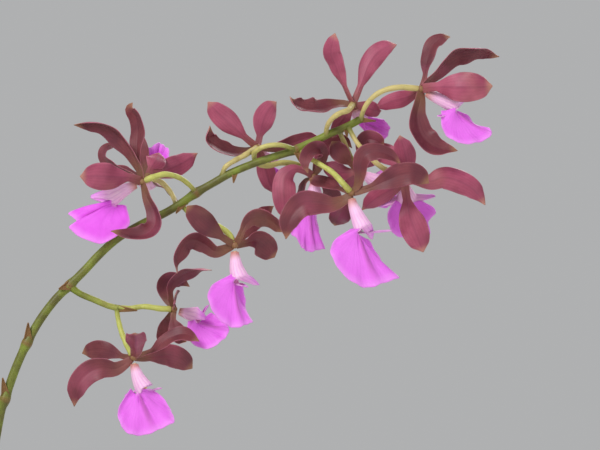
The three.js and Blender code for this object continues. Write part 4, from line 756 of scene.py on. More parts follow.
def tree_node(tree, kind, settings=None, sockets=None):
    node = tree.nodes.new(kind)
    for label, value in (settings or {}).items():
        setattr(node, label, value)
    for label, value in (sockets or {}).items():
        if isinstance(value, bpy.types.NodeSocket):
            tree.links.new(value, node.inputs[label])
        else:
            node.inputs[label].default_value = value
    return node


def sweep_tree():
    """Round stems: lines of points with a radius each become smooth tubes."""
    tree = new_tree("Round Stems", [
        ("Sides", "NodeSocketInt", 18), ("Step", "NodeSocketFloat", 0.6 * MM),
        ("Finish", "NodeSocketMaterial", None)])
    given = tree_node(tree, "NodeGroupInput").outputs
    lines = tree_node(tree, "GeometryNodeMeshToCurve", None, {0: given["Geometry"]})
    smooth = tree_node(tree, "GeometryNodeCurveSplineType", {"spline_type": "CATMULL_ROM"},
                       {0: lines.outputs[0]})
    even = tree_node(tree, "GeometryNodeResampleCurve", {"mode": "LENGTH"},
                     {"Curve": smooth.outputs[0], "Length": given["Step"]})
    girth = tree_node(tree, "GeometryNodeInputNamedAttribute", {"data_type": "FLOAT"}, {"Name": "girth"})
    sized = tree_node(tree, "GeometryNodeSetCurveRadius", None,
                      {"Curve": even.outputs[0], "Radius": girth.outputs[0]})
    ring = tree_node(tree, "GeometryNodeCurvePrimitiveCircle", None,
                     {"Resolution": given["Sides"], "Radius": 1.0})
    tube = tree_node(tree, "GeometryNodeCurveToMesh", None,
                     {"Curve": sized.outputs[0], "Profile Curve": ring.outputs[0], "Fill Caps": True})
    if "Scale" in tube.inputs:
        tree.links.new(girth.outputs[0], tube.inputs["Scale"])
    soft = tree_node(tree, "GeometryNodeSetShadeSmooth", None, {0: tube.outputs[0]})
    whole = tree_node(tree, "GeometryNodeRealizeInstances", None, {0: soft.outputs[0]})
    clad = tree_node(tree, "GeometryNodeSetMaterial", None,
                     {"Geometry": whole.outputs[0], "Material": given["Finish"]})
    tree_node(tree, "NodeGroupOutput", None, {0: clad.outputs[0]})
    return tree


def scatter_tree():
    """Bark chips: one chip on each point, with the turn and size that the point carries."""
    tree = new_tree("Bark Chips", [
        ("Chip", "NodeSocketObject", None), ("Finish", "NodeSocketMaterial", None)])
    given = tree_node(tree, "NodeGroupInput").outputs
    chip = tree_node(tree, "GeometryNodeObjectInfo", None, {"Object": given["Chip"]})
    turn = tree_node(tree, "GeometryNodeInputNamedAttribute", {"data_type": "FLOAT_VECTOR"}, {"Name": "turn"})
    size = tree_node(tree, "GeometryNodeInputNamedAttribute", {"data_type": "FLOAT_VECTOR"}, {"Name": "size"})
    laid = tree_node(tree, "GeometryNodeInstanceOnPoints", None,
                     {"Points": given["Geometry"], "Instance": chip.outputs["Geometry"],
                      "Rotation": turn.outputs[0], "Scale": size.outputs[0]})
    whole = tree_node(tree, "GeometryNodeRealizeInstances", None, {0: laid.outputs[0]})
    clad = tree_node(tree, "GeometryNodeSetMaterial", None,
                     {"Geometry": whole.outputs[0], "Material": given["Finish"]})
    tree_node(tree, "NodeGroupOutput", None, {0: clad.outputs[0]})
    return tree


def bake(source, tree, values, name):
    """Runs a tree on a source object and keeps the result as a plain mesh."""
    modifier = source.modifiers.new(tree.name, "NODES")
    modifier.node_group = tree
    for item in tree.interface.items_tree:
        if item.item_type == "SOCKET" and item.in_out == "INPUT" and item.name in values:
            modifier[item.identifier] = values[item.name]
    depsgraph = bpy.context.evaluated_depsgraph_get()
    mesh = bpy.data.meshes.new_from_object(
        source.evaluated_get(depsgraph), preserve_all_data_layers=True, depsgraph=depsgraph)
    bpy.data.objects.remove(source)
    piece = bpy.data.objects.new(name, mesh)
    bpy.context.scene.collection.objects.link(piece)
    return piece


def lines_object(name, lines, marks):
    """Lines of (point, {mark: value}) as an object of edges."""
    points = [spot * MM for line in lines for spot, _ in line]
    edges = []
    start = 0
    for line in lines:
        edges += [(start + i, start + i + 1) for i in range(len(line) - 1)]
        start += len(line)
    mesh = bpy.data.meshes.new(name)
    mesh.from_pydata(points, edges, [])
    for mark in marks:
        values = [given.get(mark, 0.0) for line in lines for _, given in line]
        mesh.attributes.new(mark, "FLOAT", "POINT").data.foreach_set("value", values)
    piece = bpy.data.objects.new(name, mesh)
    bpy.context.scene.collection.objects.link(piece)
    return piece


# Finishes.
def clay_finish(colours):
    clay = Finish("fired_clay", Specular_IOR_Level=0.25)
    cloud = clay.grain(22, 5)
    fleck = clay.grain(900, 4)
    streak = clay.grain(60, 4, (1, 1, 0.16))
    height = clay.node("ShaderNodeSeparateXYZ", None, {0: clay.spot}, output=2)
    bloom = clay.grain(34, 6).ramp(0.52, 0.7) * height.ramp(0.112, 0.03) + height.ramp(0.012, 0.0) * 0.7
    colour = clay.mix(cloud, tuple(colours.clay), tuple(c * 1.35 for c in colours.clay))
    colour = clay.mix(streak.ramp(0.5, 0.75) * 0.4, colour, paint("#8a4a30"))
    colour = clay.mix(bloom * 0.42, colour, paint("#d8c3ae"))
    colour = clay.mix(fleck.ramp(0.6, 0.72) * 0.5, colour, paint("#7c3f28"))
    return clay.dress(colour, 0.78 + fleck * 0.15, fleck * 0.5 + cloud * 0.5, 0.35)


def bark_finish(colours):
    bark = Finish("orchid_bark", Specular_IOR_Level=0.3)
    cloud = bark.grain(70, 5)
    flake = bark.grain(240, 5, (1, 1, 3.2))
    pore = bark.cells(620)
    colour = bark.mix(cloud.ramp(0.35, 0.65), tuple(colours.bark), paint("#8a5a3a"))
    colour = bark.mix(flake.ramp(0.5, 0.66), colour, paint("#3a2418"))
    colour = bark.mix(pore.ramp(0.35, 0.1) * 0.4, colour, paint("#a87a52"))
    return bark.dress(colour, 0.82 + cloud * 0.1, flake + pore * 0.4, 0.9)


def root_finish(colours):
    root = Finish("root_skin", Specular_IOR_Level=0.35)
    cloud = root.grain(180, 4)
    ring = root.grain(700, 3)
    tip = root.mark("tint")
    colour = root.mix(cloud, paint("#a79c80"), paint("#d6cfb8"))
    colour = root.mix(ring.ramp(0.55, 0.7) * 0.5, colour, paint("#7f7458"))
    colour = root.mix(tip.ramp(0.3, 0.9), colour, tuple(colours.rhizome))
    return root.dress(colour, 0.7 + ring * 0.2, ring + cloud, 0.35)


def bulb_finish(colours):
    bulb = Finish("bulb_skin", Specular_IOR_Level=0.5)
    cloud = bulb.grain(60, 4)
    fleck = bulb.grain(1100, 3)
    along = bulb.mark("along")
    furrow_and_shade = bulb.mark("inner")
    colour = bulb.mix(cloud, tuple(colours.bulb), tuple(c * 1.5 for c in colours.bulb))
    # The furrows are painted darker green: painted shade in the creases.
    colour = bulb.mix(furrow_and_shade * 0.55, colour, paint("#54682a"))
    colour = bulb.mix(along.ramp(0.35, 0.0) * 0.55, colour, paint("#7c5a34"))
    colour = bulb.mix(fleck.ramp(0.62, 0.7) * 0.6, colour, paint("#5a4a28"))
    return bulb.dress(colour, 0.38 + cloud * 0.2, fleck * 0.4 + cloud, 0.2)


def sheath_finish():
    sheath = Finish("papery_sheath", Specular_IOR_Level=0.3)
    cloud = sheath.grain(90, 5)
    fibre = sheath.grain(260, 4, (1, 1, 0.06))
    edge = sheath.mark("along").ramp(0.72, 1.0)
    colour = sheath.mix(cloud, paint("#a88a5e"), paint("#d8c59a"))
    colour = sheath.mix(fibre.ramp(0.45, 0.65) * 0.6, colour, paint("#7a5c3a"))
    colour = sheath.mix(edge * 0.6, colour, paint("#5f452c"))
    return sheath.dress(colour, 0.62 + fibre * 0.2, fibre, 0.3)


def leaf_finish(colours):
    leaf = Finish("strap_leaf", Specular_IOR_Level=0.45, Coat_Roughness=0.35)
    along, across, inner, tint = (leaf.mark(mark) for mark in Skin.MARKS)
    cloud = leaf.grain(30, 4)
    wander = leaf.grain(60, 2)
    vein = ((across * 62 + wander * 3).sine() * 0.5 + 0.5) ** 3
    rib = abs(across).ramp(0.09, 0.0)
    edge = abs(across).ramp(0.9, 1.0)
    colour = leaf.mix(cloud * 0.7 + tint * 0.4, tuple(colours.leaf), tuple(c * 1.9 for c in colours.leaf))
    colour = leaf.mix(inner, leaf.mix(0.45, colour, paint("#8a9a5c")), colour)
    colour = leaf.mix(vein * 0.28, colour, paint("#8fa04a"))
    colour = leaf.mix(rib * 0.45, colour, paint("#9aab58"))
    colour = leaf.mix(edge * 0.4, colour, paint("#a7a85e"))
    colour = leaf.mix(along.ramp(0.975, 1.0) * 0.85, colour, paint("#8a6a38"))
    colour = leaf.mix(along.ramp(0.06, 0.0) * 0.5, colour, paint("#b4b878"))
    return leaf.dress(colour, 0.38 + cloud * 0.16, vein * 0.35 + cloud, 0.22)


def stalk_finish(colours):
    stalk = Finish("stalk_skin", Specular_IOR_Level=0.45, Subsurface_Weight=0.08,
                   Subsurface_Radius=(0.8, 1.0, 0.3), Subsurface_Scale=MM)
    pale, scar = stalk.mark("pale"), stalk.mark("scar")
    cloud = stalk.grain(150, 4)
    streak = stalk.grain(900, 3, (0.25, 1, 0.25))
    fleck = stalk.grain(1500, 2)
    cream = stalk.mark("cream")
    colour = stalk.mix(cloud.ramp(0.3, 0.7), paint("#59571f"), tuple(colours.stalk))
    fair = stalk.mix(cream, tuple(colours.pedicel), paint("#d2bd80"))
    colour = stalk.mix(pale, colour, stalk.mix(cloud * 0.5, fair, paint("#8f9440")))
    colour = stalk.mix(streak.ramp(0.5, 0.7) * 0.3, colour, paint("#6e6230"))
    colour = stalk.mix(fleck.ramp(0.66, 0.72) * 0.18, colour, paint("#6a4a2a"))
    colour = stalk.mix(scar, colour, paint("#7d5630"))
    return stalk.dress(colour, 0.42 + cloud * 0.2, streak + fleck * 0.4, 0.12)


def bract_finish():
    bract = Finish("dry_bract", Specular_IOR_Level=0.3)
    cloud = bract.grain(300, 4)
    along, across = bract.mark("along"), bract.mark("across")
    vein = ((across * 16 + cloud * 2).sine() * 0.5 + 0.5) ** 2
    colour = bract.mix(cloud, paint("#6f4a2c"), paint("#a27c50"))
    colour = bract.mix(vein * 0.3, colour, paint("#58371f"))
    colour = bract.mix(along.ramp(0.35, 0.0) * 0.6, colour, paint("#77743a"))
    return bract.dress(colour, 0.62 + cloud * 0.2, vein, 0.15)


def tepal_finish(colours):
    tepal = Finish("tepal_skin", Specular_IOR_Level=0.42, Subsurface_Weight=0.06,
                   Subsurface_Radius=(1.0, 0.35, 0.4), Subsurface_Scale=0.8 * MM)
    along, across, inner, tint = (tepal.mark(mark) for mark in Skin.MARKS)
    cloud = tepal.grain(110, 4)
    broad_tone_and_highlight = tepal.grain(42, 2)
    wander = tepal.grain(110, 3)
    fleck = tepal.grain(1900, 3)
    vein = ((across * 26 + wander * 7).sine() * 0.5 + 0.5) ** 3
    fine = ((across * 74 + wander * 9).sine() * 0.5 + 0.5) ** 2
    edge = abs(across).ramp(0.86, 1.0)
    rib = abs(across).ramp(0.12, 0.0)
    claw = along.ramp(0.36, 0.05)
    tip = along.ramp(0.88, 1.0)
    back = tepal.mix(cloud.ramp(0.25, 0.75) * 0.8 + tint * 0.2, tuple(colours.tepal_back), paint("#b0546f"))
    back = tepal.mix(vein * 0.16, back, paint("#6a2338"))
    back = tepal.mix(claw * 0.5, back, paint("#8a5f48"))
    back = tepal.mix(rib * 0.35, back, paint("#74304a"))
    back = tepal.mix(edge * 0.45, back, paint("#c27a8c"))
    back = tepal.mix(tip * 0.5, back, paint("#c9a27c"))
    front = tepal.mix(cloud.ramp(0.3, 0.7) * 0.75 + tint * 0.2, tuple(colours.tepal_front), paint("#7d3a40"))
    front = tepal.mix(vein * 0.2, front, paint("#45182a"))
    front = tepal.mix(claw * 0.6, front, paint("#7c5a3a"))
    front = tepal.mix(edge * 0.4, front, paint("#a45a6a"))
    front = tepal.mix(tip * 0.5, front, paint("#b98f62"))
    colour = tepal.mix(inner.ramp(0.25, 0.75), back, front)
    colour = tepal.mix(broad_tone_and_highlight.ramp(0.55, 0.8) * 0.35, colour, paint("#86613e"))
    # Pink clouds scattered by large noise are painted highlight; the olive-brown clouds above are the tepals'
    # own tone.
    colour = tepal.mix(broad_tone_and_highlight.ramp(0.45, 0.25) * 0.4, colour, paint("#b05070"))
    colour = tepal.mix(fleck.ramp(0.55, 0.75) * 0.15, colour, paint("#4a1828"))
    return tepal.dress(colour, 0.42 + cloud * 0.14, vein * -0.15 + fine * 0.15 + fleck * 0.5, 0.1)


def heart_finish():
    heart = Finish("bloom_heart", Specular_IOR_Level=0.4)
    cloud = heart.grain(500, 3)
    return heart.dress(heart.mix(cloud, paint("#7a4a3c"), paint("#9a7a4a")), 0.5 + cloud * 0.1, cloud, 0.1)


def lip_finish(colours):
    lip = Finish("lip_velvet", Specular_IOR_Level=0.3, Subsurface_Weight=0.12,
                 Subsurface_Radius=(1.0, 0.5, 1.0), Subsurface_Scale=0.8 * MM,
                 Sheen_Weight=0.15, Sheen_Roughness=0.4)
    along, across, inner, tint = (lip.mark(mark) for mark in Skin.MARKS)
    cloud = lip.grain(210, 4)
    wander = lip.grain(170, 3)
    fleck = lip.grain(1600, 3)
    vein = ((across * 44 + wander * 7 * along).sine() * 0.5 + 0.5) ** 4
    fine = ((across * 110 + wander * 12 * along).sine() * 0.5 + 0.5) ** 2
    crease = abs(across).ramp(0.085, 0.0) * along.ramp(0.02, 0.12)
    edge = along.ramp(0.8, 1.0)
    colour = lip.mix(cloud * 0.7 + tint * 0.25, tuple(colours.lip), paint("#ea6cee"))
    colour = lip.mix(vein * 0.12, colour, paint("#bb38c4"))
    colour = lip.mix(edge * 0.5, colour, paint("#efa0f2"))
    colour = lip.mix(abs(across).ramp(0.3, 0.0) * along.ramp(0.6, 0.1) * 0.35, colour, paint("#c83cc0"))
    colour = lip.mix(crease * along.ramp(1.05, 0.5) * 0.8, colour, paint("#a0208c"))
    colour = lip.mix(along.ramp(0.1, 0.0) * 0.7, colour, paint("#f3b4e2"))
    colour = lip.mix(inner, lip.mix(0.3, colour, paint("#e892ea")), colour)
    return lip.dress(colour, 0.5 + cloud * 0.14, vein * -0.16 + fine * 0.14 + fleck * 0.4, 0.14)


def sleeve_finish():
    sleeve = Finish("side_lobes", Specular_IOR_Level=0.35, Subsurface_Weight=0.12,
                    Subsurface_Radius=(1.0, 0.6, 0.8), Subsurface_Scale=0.8 * MM)
    along, across = (sleeve.mark(mark) for mark in Skin.MARKS[:2])
    cloud = sleeve.grain(260, 3)
    vein = ((across * 30 + cloud * 4).sine() * 0.5 + 0.5) ** 4
    colour = sleeve.mix(cloud, paint("#ecaedd"), paint("#f8cfe9"))
    colour = sleeve.mix(along.ramp(0.4, 0.9) * abs(across).ramp(0.1, 0.8) * 0.85, colour, paint("#e07ee6"))
    colour = sleeve.mix(vein * 0.3 * along.ramp(0.0, 0.5), colour, paint("#c060c4"))
    colour = sleeve.mix(along.ramp(0.2, 0.0) * 0.85, colour, paint("#c07a62"))
    return sleeve.dress(colour, 0.46 + cloud * 0.1, vein * -0.4 + cloud * 0.4, 0.15)


def column_finish():
    column = Finish("column_flesh", Specular_IOR_Level=0.5, Subsurface_Weight=0.15,
                    Subsurface_Radius=(1.0, 0.6, 0.6), Subsurface_Scale=MM)
    along = column.mark("along")
    cloud = column.grain(400, 3)
    colour = column.mix(cloud, paint("#efd3e4"), paint("#fdf1f6"))
    colour = column.mix(along.ramp(0.3, 0.0) * 0.8, colour, paint("#c79a62"))
    colour = column.mix(along.ramp(0.6, 0.95) * 0.4, colour, paint("#c56cb8"))
    return column.dress(colour, 0.36 + cloud * 0.1, cloud, 0.1)


def cap_finish():
    cap = Finish("anther_cap", Specular_IOR_Level=0.5)
    cloud = cap.grain(700, 3)
    return cap.dress(cap.mix(cloud, paint("#d9a838"), paint("#f3d98a")), 0.4 + cloud * 0.1, cloud, 0.1)


# Pot, bark, roots and bulbs.
def turned(skin, profile, turns, slot=0, wobble=None):
    """Turns a profile of (radius, height) about Z. It starts and ends on the axis."""
    rows = []
    for k, (radius, height) in enumerate(profile):
        ring = []
        for j in range(turns):
            angle = 2 * math.pi * j / turns
            reach = radius + (wobble(angle, height) if wobble else 0)
            ring.append(skin.point(Vector((reach * math.cos(angle), reach * math.sin(angle), height)),
                                   along=k / (len(profile) - 1)))
        rows.append(ring)
    skin.rings(rows, slot)


def rounded(corners, steps=5):
    """Rounds the corners (radius, height, fillet) of a profile."""
    profile = []
    last = len(corners) - 1
    for i, (radius, height, fillet) in enumerate(corners):
        here = Vector((radius, height))
        if not fillet or i in (0, last):
            profile.append((radius, height))
            continue
        before = Vector(corners[i - 1][:2]) - here
        after = Vector(corners[i + 1][:2]) - here
        start = here + before.normalized() * min(fillet, before.length * 0.45)
        end = here + after.normalized() * min(fillet, after.length * 0.45)
        for k in range(steps + 1):
            w = k / steps
            spot = start * (1 - w) ** 2 + here * 2 * w * (1 - w) + end * w * w
            profile.append((spot.x, spot.y))
    return profile


def pot_profile(sizes):
    base, top = sizes.base_radius / MM, sizes.top_radius / MM
    height, wall, floor = sizes.height / MM, sizes.wall / MM, sizes.floor / MM
    rim_height, proud = sizes.rim_height / MM, sizes.rim_proud / MM
    rim = top + proud
    return rounded([
        (0.02, 0, 0), (base, 0, 1.6), (top - POT_SLIMMING, height - rim_height, 1.0),
        (rim, height - rim_height + 1, 1.6),
        (rim + 1, height - 2, 1.6), (rim - 1, height, 1.6), (rim - wall - 1, height, 1.6),
        (base - wall + 1, floor, 4), (0.02, floor, 0),
    ])


def fine_steps(profile, longest):
    """Adds points to a profile, so that no step is longer than the longest."""
    steps = [profile[0]]
    for (r0, h0), (r1, h1) in zip(profile, profile[1:]):
        count = max(1, math.ceil(math.hypot(r1 - r0, h1 - h0) / longest))
        steps += [(lerp(r0, r1, k / count), lerp(h0, h1, k / count)) for k in range(1, count + 1)]
    return steps


def make_pot(sizes, colours):
    def wobble(angle, height):
        spot = Vector((math.cos(angle), math.sin(angle), height / 26))
        throwing = 0.12 * math.sin(height * 1.9) * smoothstep(height, 4, 14)
        return (noise.noise(spot * 1.3) * 0.35 + throwing) * (1 if height > 1 else 0)

    skin = Skin()
    turned(skin, fine_steps(pot_profile(sizes), 2.2), 144, wobble=wobble)
    pot = skin.build("clay_pot", [clay_finish(colours)])
    drills = Skin()
    for i in range(sizes.drain_count):
        angle = 2 * math.pi * (i + 0.5) / sizes.drain_count
        x, y = (sizes.drain_ring / MM * f(angle) for f in (math.cos, math.sin))
        rows = [[drills.point(Vector((x + sizes.drain_radius / MM * math.cos(2 * math.pi * k / 32),
                                      y + sizes.drain_radius / MM * math.sin(2 * math.pi * k / 32), z)))
                 for k in range(32)] for z in (-3, 14)]
        drills.rings(rows)
    cutter = drills.build("drain_drills", [])
    cut = pot.modifiers.new("Drain Holes", "BOOLEAN")
    cut.operation, cut.object, cut.solver = "DIFFERENCE", cutter, "EXACT"
    depsgraph = bpy.context.evaluated_depsgraph_get()
    drilled = bpy.data.meshes.new_from_object(pot.evaluated_get(depsgraph), depsgraph=depsgraph)
    pot.modifiers.clear()
    pot.data = drilled
    bpy.data.objects.remove(cutter)
    settle(pot, "clay", "pot")


def root_paths():
    """The roots' stations: each runs over the bark from a bulb's foot and dips into a hole."""
    draw = seeded(11)
    paths = []
    for index, bulb in enumerate(BULBS):
        outward = math.atan2(bulb["y"], bulb["x"] + 14)
        for turn in (-1, 1):
            heading = outward + turn * (0.55 + 0.35 * draw()) + (0 if index == 0 else 0.2)
            reach = ROOT_REACH * (0.55 + 0.2 * draw())
            lying = BARK_TOP + SEAT_GAP + ROOT_RADIUS + 0.2

            def at(share, height):
                return Vector((bulb["x"] + share * reach * math.cos(heading),
                               bulb["y"] + share * reach * math.sin(heading), height))
            if at(1, 0).length > ROOT_LIMIT:
                continue
            paths.append([at(0, RHIZOME_HEIGHT), at(0.45, lying + 1.4), at(0.88, lying + 0.8),
                          at(1, BARK_TOP - 2), at(1.01, BARK_TOP - ROOT_DEPTH)])
    return paths


def rhizome_line():
    return [Vector((BULBS[i]["x"], BULBS[i]["y"], RHIZOME_HEIGHT)) for i in (0, 1, 3, 4, 2)]


def make_rhizome(colours, sweep):
    knots = rhizome_line()
    lines = []
    for a, b in zip(knots, knots[1:]):
        line = []
        for k in range(25):
            u = k / 24
            radius = RHIZOME_RADIUS * (0.86 + 0.14 * math.cos(2 * math.pi * u) + 0.03 * math.sin(u * 40))
            line.append((a.lerp(b, u), {"girth": radius * MM, "tint": 1.0}))
        lines.append(line)
    tip = Vector((10, 2, 0))
    lines.append([(knots[0] + tip * k / 6, {"girth": RHIZOME_RADIUS * (1 - 0.6 * k / 6) * MM, "tint": 1.0})
                  for k in range(7)])
    for bulb in BULBS:
        foot = Vector((bulb["x"], bulb["y"], RHIZOME_HEIGHT))
        rise = Vector((0, 0, RHIZOME_RADIUS / 4))
        lines.append([(foot + rise * k, {"girth": KNUCKLE_RADIUS * MM, "tint": 1.0}) for k in range(5)])
    draw = seeded(31)
    for stations in root_paths():
        path = Path(stations)
        line = []
        for k in range(31):
            u = k / 30
            sway = Vector((draw() - 0.5, draw() - 0.5, 0)) * 0.5 * math.sin(math.pi * u)
            girth = ROOT_RADIUS * (0.96 + 0.06 * math.sin(u * 23))
            line.append((path.at(u) + sway, {"girth": girth * MM, "tint": 1 - smoothstep(u, 0.0, 0.18)}))
        lines.append(line)
    source = lines_object("rhizome_lines", lines, ("girth", "tint"))
    rhizome = bake(source, sweep, {"Finish": root_finish(colours).material, "Step": 0.7 * MM, "Sides": 16},
                   "rhizome_and_roots")
    settle(rhizome, "root", "rhizome_with_roots")


def make_chip():
    """One chip of bark, a rough flat lump a millimetre across."""
    shaped = bmesh.new()
    bmesh.ops.create_icosphere(shaped, subdivisions=4, radius=1)
    for vert in shaped.verts:
        x, y, z = vert.co
        blocky = Vector([math.copysign(abs(c) ** 0.72, c) for c in (x, y, z)])
        rough = noise.noise(blocky * 1.7) * 0.22 + noise.noise(blocky * 5.0) * 0.07
        layers = 0.05 * math.sin(blocky.z * 17 + noise.noise(blocky * 2.2) * 5)
        vert.co = blocky * (0.96 + rough) + Vector((x, y, 0)) * layers
    mesh = bpy.data.meshes.new("bark_chip")
    shaped.to_mesh(mesh)
    shaped.free()
    mesh.polygons.foreach_set("use_smooth", [True] * len(mesh.polygons))
    chip = bpy.data.objects.new("bark_chip", mesh)
    bpy.context.scene.collection.objects.link(chip)
    return chip


def make_bark(colours, scatter, sizes):
    finish = bark_finish(colours)
    floor = sizes.floor / MM + SEAT_GAP
    height, wall = sizes.height / MM, sizes.wall / MM
    inner_top = (sizes.top_radius + sizes.rim_proud) / MM - wall - 1
    inner_base = sizes.base_radius / MM - wall + 1
    slope = (inner_top - inner_base) / (height - sizes.floor / MM)

    def side(level):
        inside = inner_base + slope * (level - sizes.floor / MM)
        return inside * math.cos(math.pi / POT_SIDES) - SEAT_GAP

    busy = [spot for path in root_paths() for spot in path[:4]]
    knots = rhizome_line()
    for a, b in zip(knots, knots[1:]):
        busy += [a.lerp(b, share) for share in (0, 0.33, 0.66)]
    busy += [knots[-1], Vector((16, 2, RHIZOME_HEIGHT))]
    draw = seeded(5)
    chips = []
    tries = 0
    while len(chips) < CHUNK_COUNT and tries < 4000:
        tries += 1
        radius = CHUNK_RADIUS * (0.6 + 0.5 * draw())
        reach = (side(BARK_TOP) - radius - 0.5) * math.sqrt(draw())
        heading = 2 * math.pi * draw()
        spot = Vector((reach * math.cos(heading), reach * math.sin(heading), BARK_TOP + 0.1 * radius))
        tilt = (0.5 * (draw() - 0.5), 0.5 * (draw() - 0.5), 2 * math.pi * draw())
        if all(math.hypot(p.x - spot.x, p.y - spot.y) > radius + RHIZOME_RADIUS + 1 for p in busy):
            chips.append((spot, tilt, Vector((1, 0.62, 0.55)) * radius * 0.92))
    draw = seeded(77)
    for _ in range(1500):
        radius = 2.2 + 3.4 * draw()
        reach = (side(BARK_TOP) - radius * 0.8) * math.sqrt(draw())
        heading = 2 * math.pi * draw()
        spot = Vector((reach * math.cos(heading), reach * math.sin(heading), BARK_TOP - radius * 0.12))
        tilt = (0.5 * (draw() - 0.5), 0.5 * (draw() - 0.5), 2 * math.pi * draw())
        clear = all(math.hypot(p.x - spot.x, p.y - spot.y) > radius * 0.8 + 4 for p in busy)
        apart = all((c[0] - spot).length > (c[2].x + radius) * 0.52 for c in chips)
        if clear and apart and len(chips) < 210:
            chips.append((spot, tilt, Vector((1, 0.66, 0.4)) * radius))
    mesh = bpy.data.meshes.new("chip_spots")
    mesh.from_pydata([spot * MM for spot, _, _ in chips], [], [])
    for label, values in (("turn", [tilt for _, tilt, _ in chips]),
                          ("size", [size * MM for _, _, size in chips])):
        flat = [component for value in values for component in value]
        mesh.attributes.new(label, "FLOAT_VECTOR", "POINT").data.foreach_set("vector", flat)
    source = bpy.data.objects.new("chip_spots", mesh)
    bpy.context.scene.collection.objects.link(source)
    chip = make_chip()
    bark = bake(source, scatter, {"Chip": chip, "Finish": finish.material}, "bark_chips")
    bpy.data.objects.remove(chip)
    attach(bark, "root")

    bed = Skin()
    profile = [(0.02, floor), (side(floor), floor), (side(BARK_TOP), BARK_TOP - 1.4), (0.02, BARK_TOP - 1.4)]
    turned(bed, fine_steps(profile, 3), 96)
    settle(bed.build("bark_bed_packed", [finish]), "bark", "bark_bed")


def bulb_radius(radius, u):
    swell = max(math.sin(math.pi * min(1, 0.18 + u * 1.05)), 0) ** 0.9
    return radius * (0.4 + 0.6 * swell) * (1 - 0.32 * u)


def make_bulb(index, bulb, finishes):
    skin = Skin()
    axis = Vector((bulb["x"], bulb["y"], BULB_SEAT))
    height, radius = bulb["height"], bulb["radius"]
    folds = 9 + index % 3

    def furrow_and_shade(angle, u):
        wave = math.cos(folds * angle + index + 0.6 * math.sin(3 * u))
        return (wave * 0.5 + 0.5) ** 2 * smoothstep(u, 0.08, 0.3) * smoothstep(u, 1.0, 0.8)

    rows = []
    steps, turns = 60, 72
    for i in range(steps + 1):
        u = i / steps
        ring = []
        for j in range(turns):
            angle = 2 * math.pi * j / turns
            dent = furrow_and_shade(angle, u)
            reach = bulb_radius(radius, u) * (1 - 0.07 * dent)
            reach += noise.noise(Vector((math.cos(angle), math.sin(angle), u * 3 + index)) * 1.5) * 0.25
            reach *= 0.55 + 0.45 * smoothstep(u, -0.01, 0.05)
            spot = axis + Vector((reach * math.cos(angle), reach * math.sin(angle), height * u))
            # The dent also goes into the inner mark, which the bulb's finish reads as painted shade in the
            # furrows.
            ring.append(skin.point(spot, along=u, inner=dent))
        rows.append(ring)
    skin.rings(rows)
    for layer, (start, end, gap) in enumerate(SHEATHS):
        top = end - 0.05 * (index % 2)
        grid = []
        for i in range(23):
            share = i / 22
            row = []
            for j in range(73):
                angle = 2 * math.pi * j / 72 * 0.985 + layer * 2.1 + index
                around = Vector((math.cos(angle) * 2.6, math.sin(angle) * 2.6, layer + index))
                torn = 0.09 * noise.noise(around)
                torn += 0.05 * math.sin(angle * 2 + layer)
                u = start + (top + torn - start) * share
                lift = gap + 0.5 * share ** 4 * (noise.noise(Vector((angle * 3, layer, index))) + 0.6)
                reach = bulb_radius(radius, u) + lift
                row.append(axis + Vector((reach * math.cos(angle), reach * math.sin(angle), height * u)))
            grid.append(row)
        skin.blade(grid, lambda u, v: 0.16, slot=1)
    settle(skin.build(f"bulb_{index + 1}_in_sheaths", finishes), "bulb", f"pseudobulb_{index + 1}")


# Leaves.
def leaf_spine(leaf):
    bulb = BULBS[leaf["bulb"]]
    turn = math.radians(leaf["heading"])
    outward = Vector((math.cos(turn), math.sin(turn), 0))
    point = Vector((bulb["x"], bulb["y"], BULB_SEAT + bulb["height"] + SEAT_GAP + 0.4))
    point += outward * bulb_radius(bulb["radius"], 1) * 0.9
    spine = [point.copy()]
    steps = 8
    for i in range(steps):
        lean = math.radians(lerp(*leaf["lean"], ((i + 0.5) / steps) ** 1.2))
        point += outward * leaf["length"] / steps * math.sin(lean)
        point.z += leaf["length"] / steps * math.cos(lean)
        spine.append(point.copy())
    return spine, outward


def make_leaf(index, leaf, finish, sizes):
    spine, outward = leaf_spine(leaf)
    path = Path(spine)
    across = Vector((-outward.y, outward.x, 0))
    width, thick = sizes.leaf_width / MM, sizes.leaf_thickness / MM
    grid = []
    steps, cells = 110, 20
    for i in range(steps + 1):
        u = i / steps
        tangent = path.tangent(u)
        up = tangent.cross(across)
        half = width / 2 * (0.15 + 0.85 * max(0, math.sin(math.pi * u ** 0.8)) ** 0.6)
        half *= 1 + 0.02 * math.sin(u * 17 + index)
        half *= math.sqrt(max(1 - smoothstep(u, 0.975, 1.0) ** 2 * 0.98, 0.0))
        fold = lerp(LEAF_FOLD_BASE, LEAF_FOLD_FULL, smoothstep(u, 0, 0.3)) - LEAF_UNFOLDING * u
        twist = 0.16 * math.sin(index * 1.7 + u * 2.4) * u
        row = []
        for j in range(cells + 1):
            v = 2 * j / cells - 1
            rise = (math.sqrt(v * v + 0.012) - 0.11) * half * math.sin(fold)
            sway = math.sin(u * 21 + index + (1.4 if v > 0 else 0))
            rise += 0.5 * abs(v) ** 2 * sway * math.sin(math.pi * u)
            reach = v * half * math.cos(fold)
            row.append(path.at(u) + across * (reach * math.cos(twist) - rise * math.sin(twist))
                       + up * (rise * math.cos(twist) + reach * math.sin(twist)))
        grid.append(row)
    skin = Skin()
    skin.blade(grid, lambda u, v: thick * (1 - 0.55 * v * v) * (1 - 0.4 * smoothstep(u, 0.9, 1)),
               tint=(index * 0.37) % 1)
    settle(skin.build(f"strap_leaf_{index + 1:02d}", [finish]), "leaf", f"leaf_{index + 1:02d}")


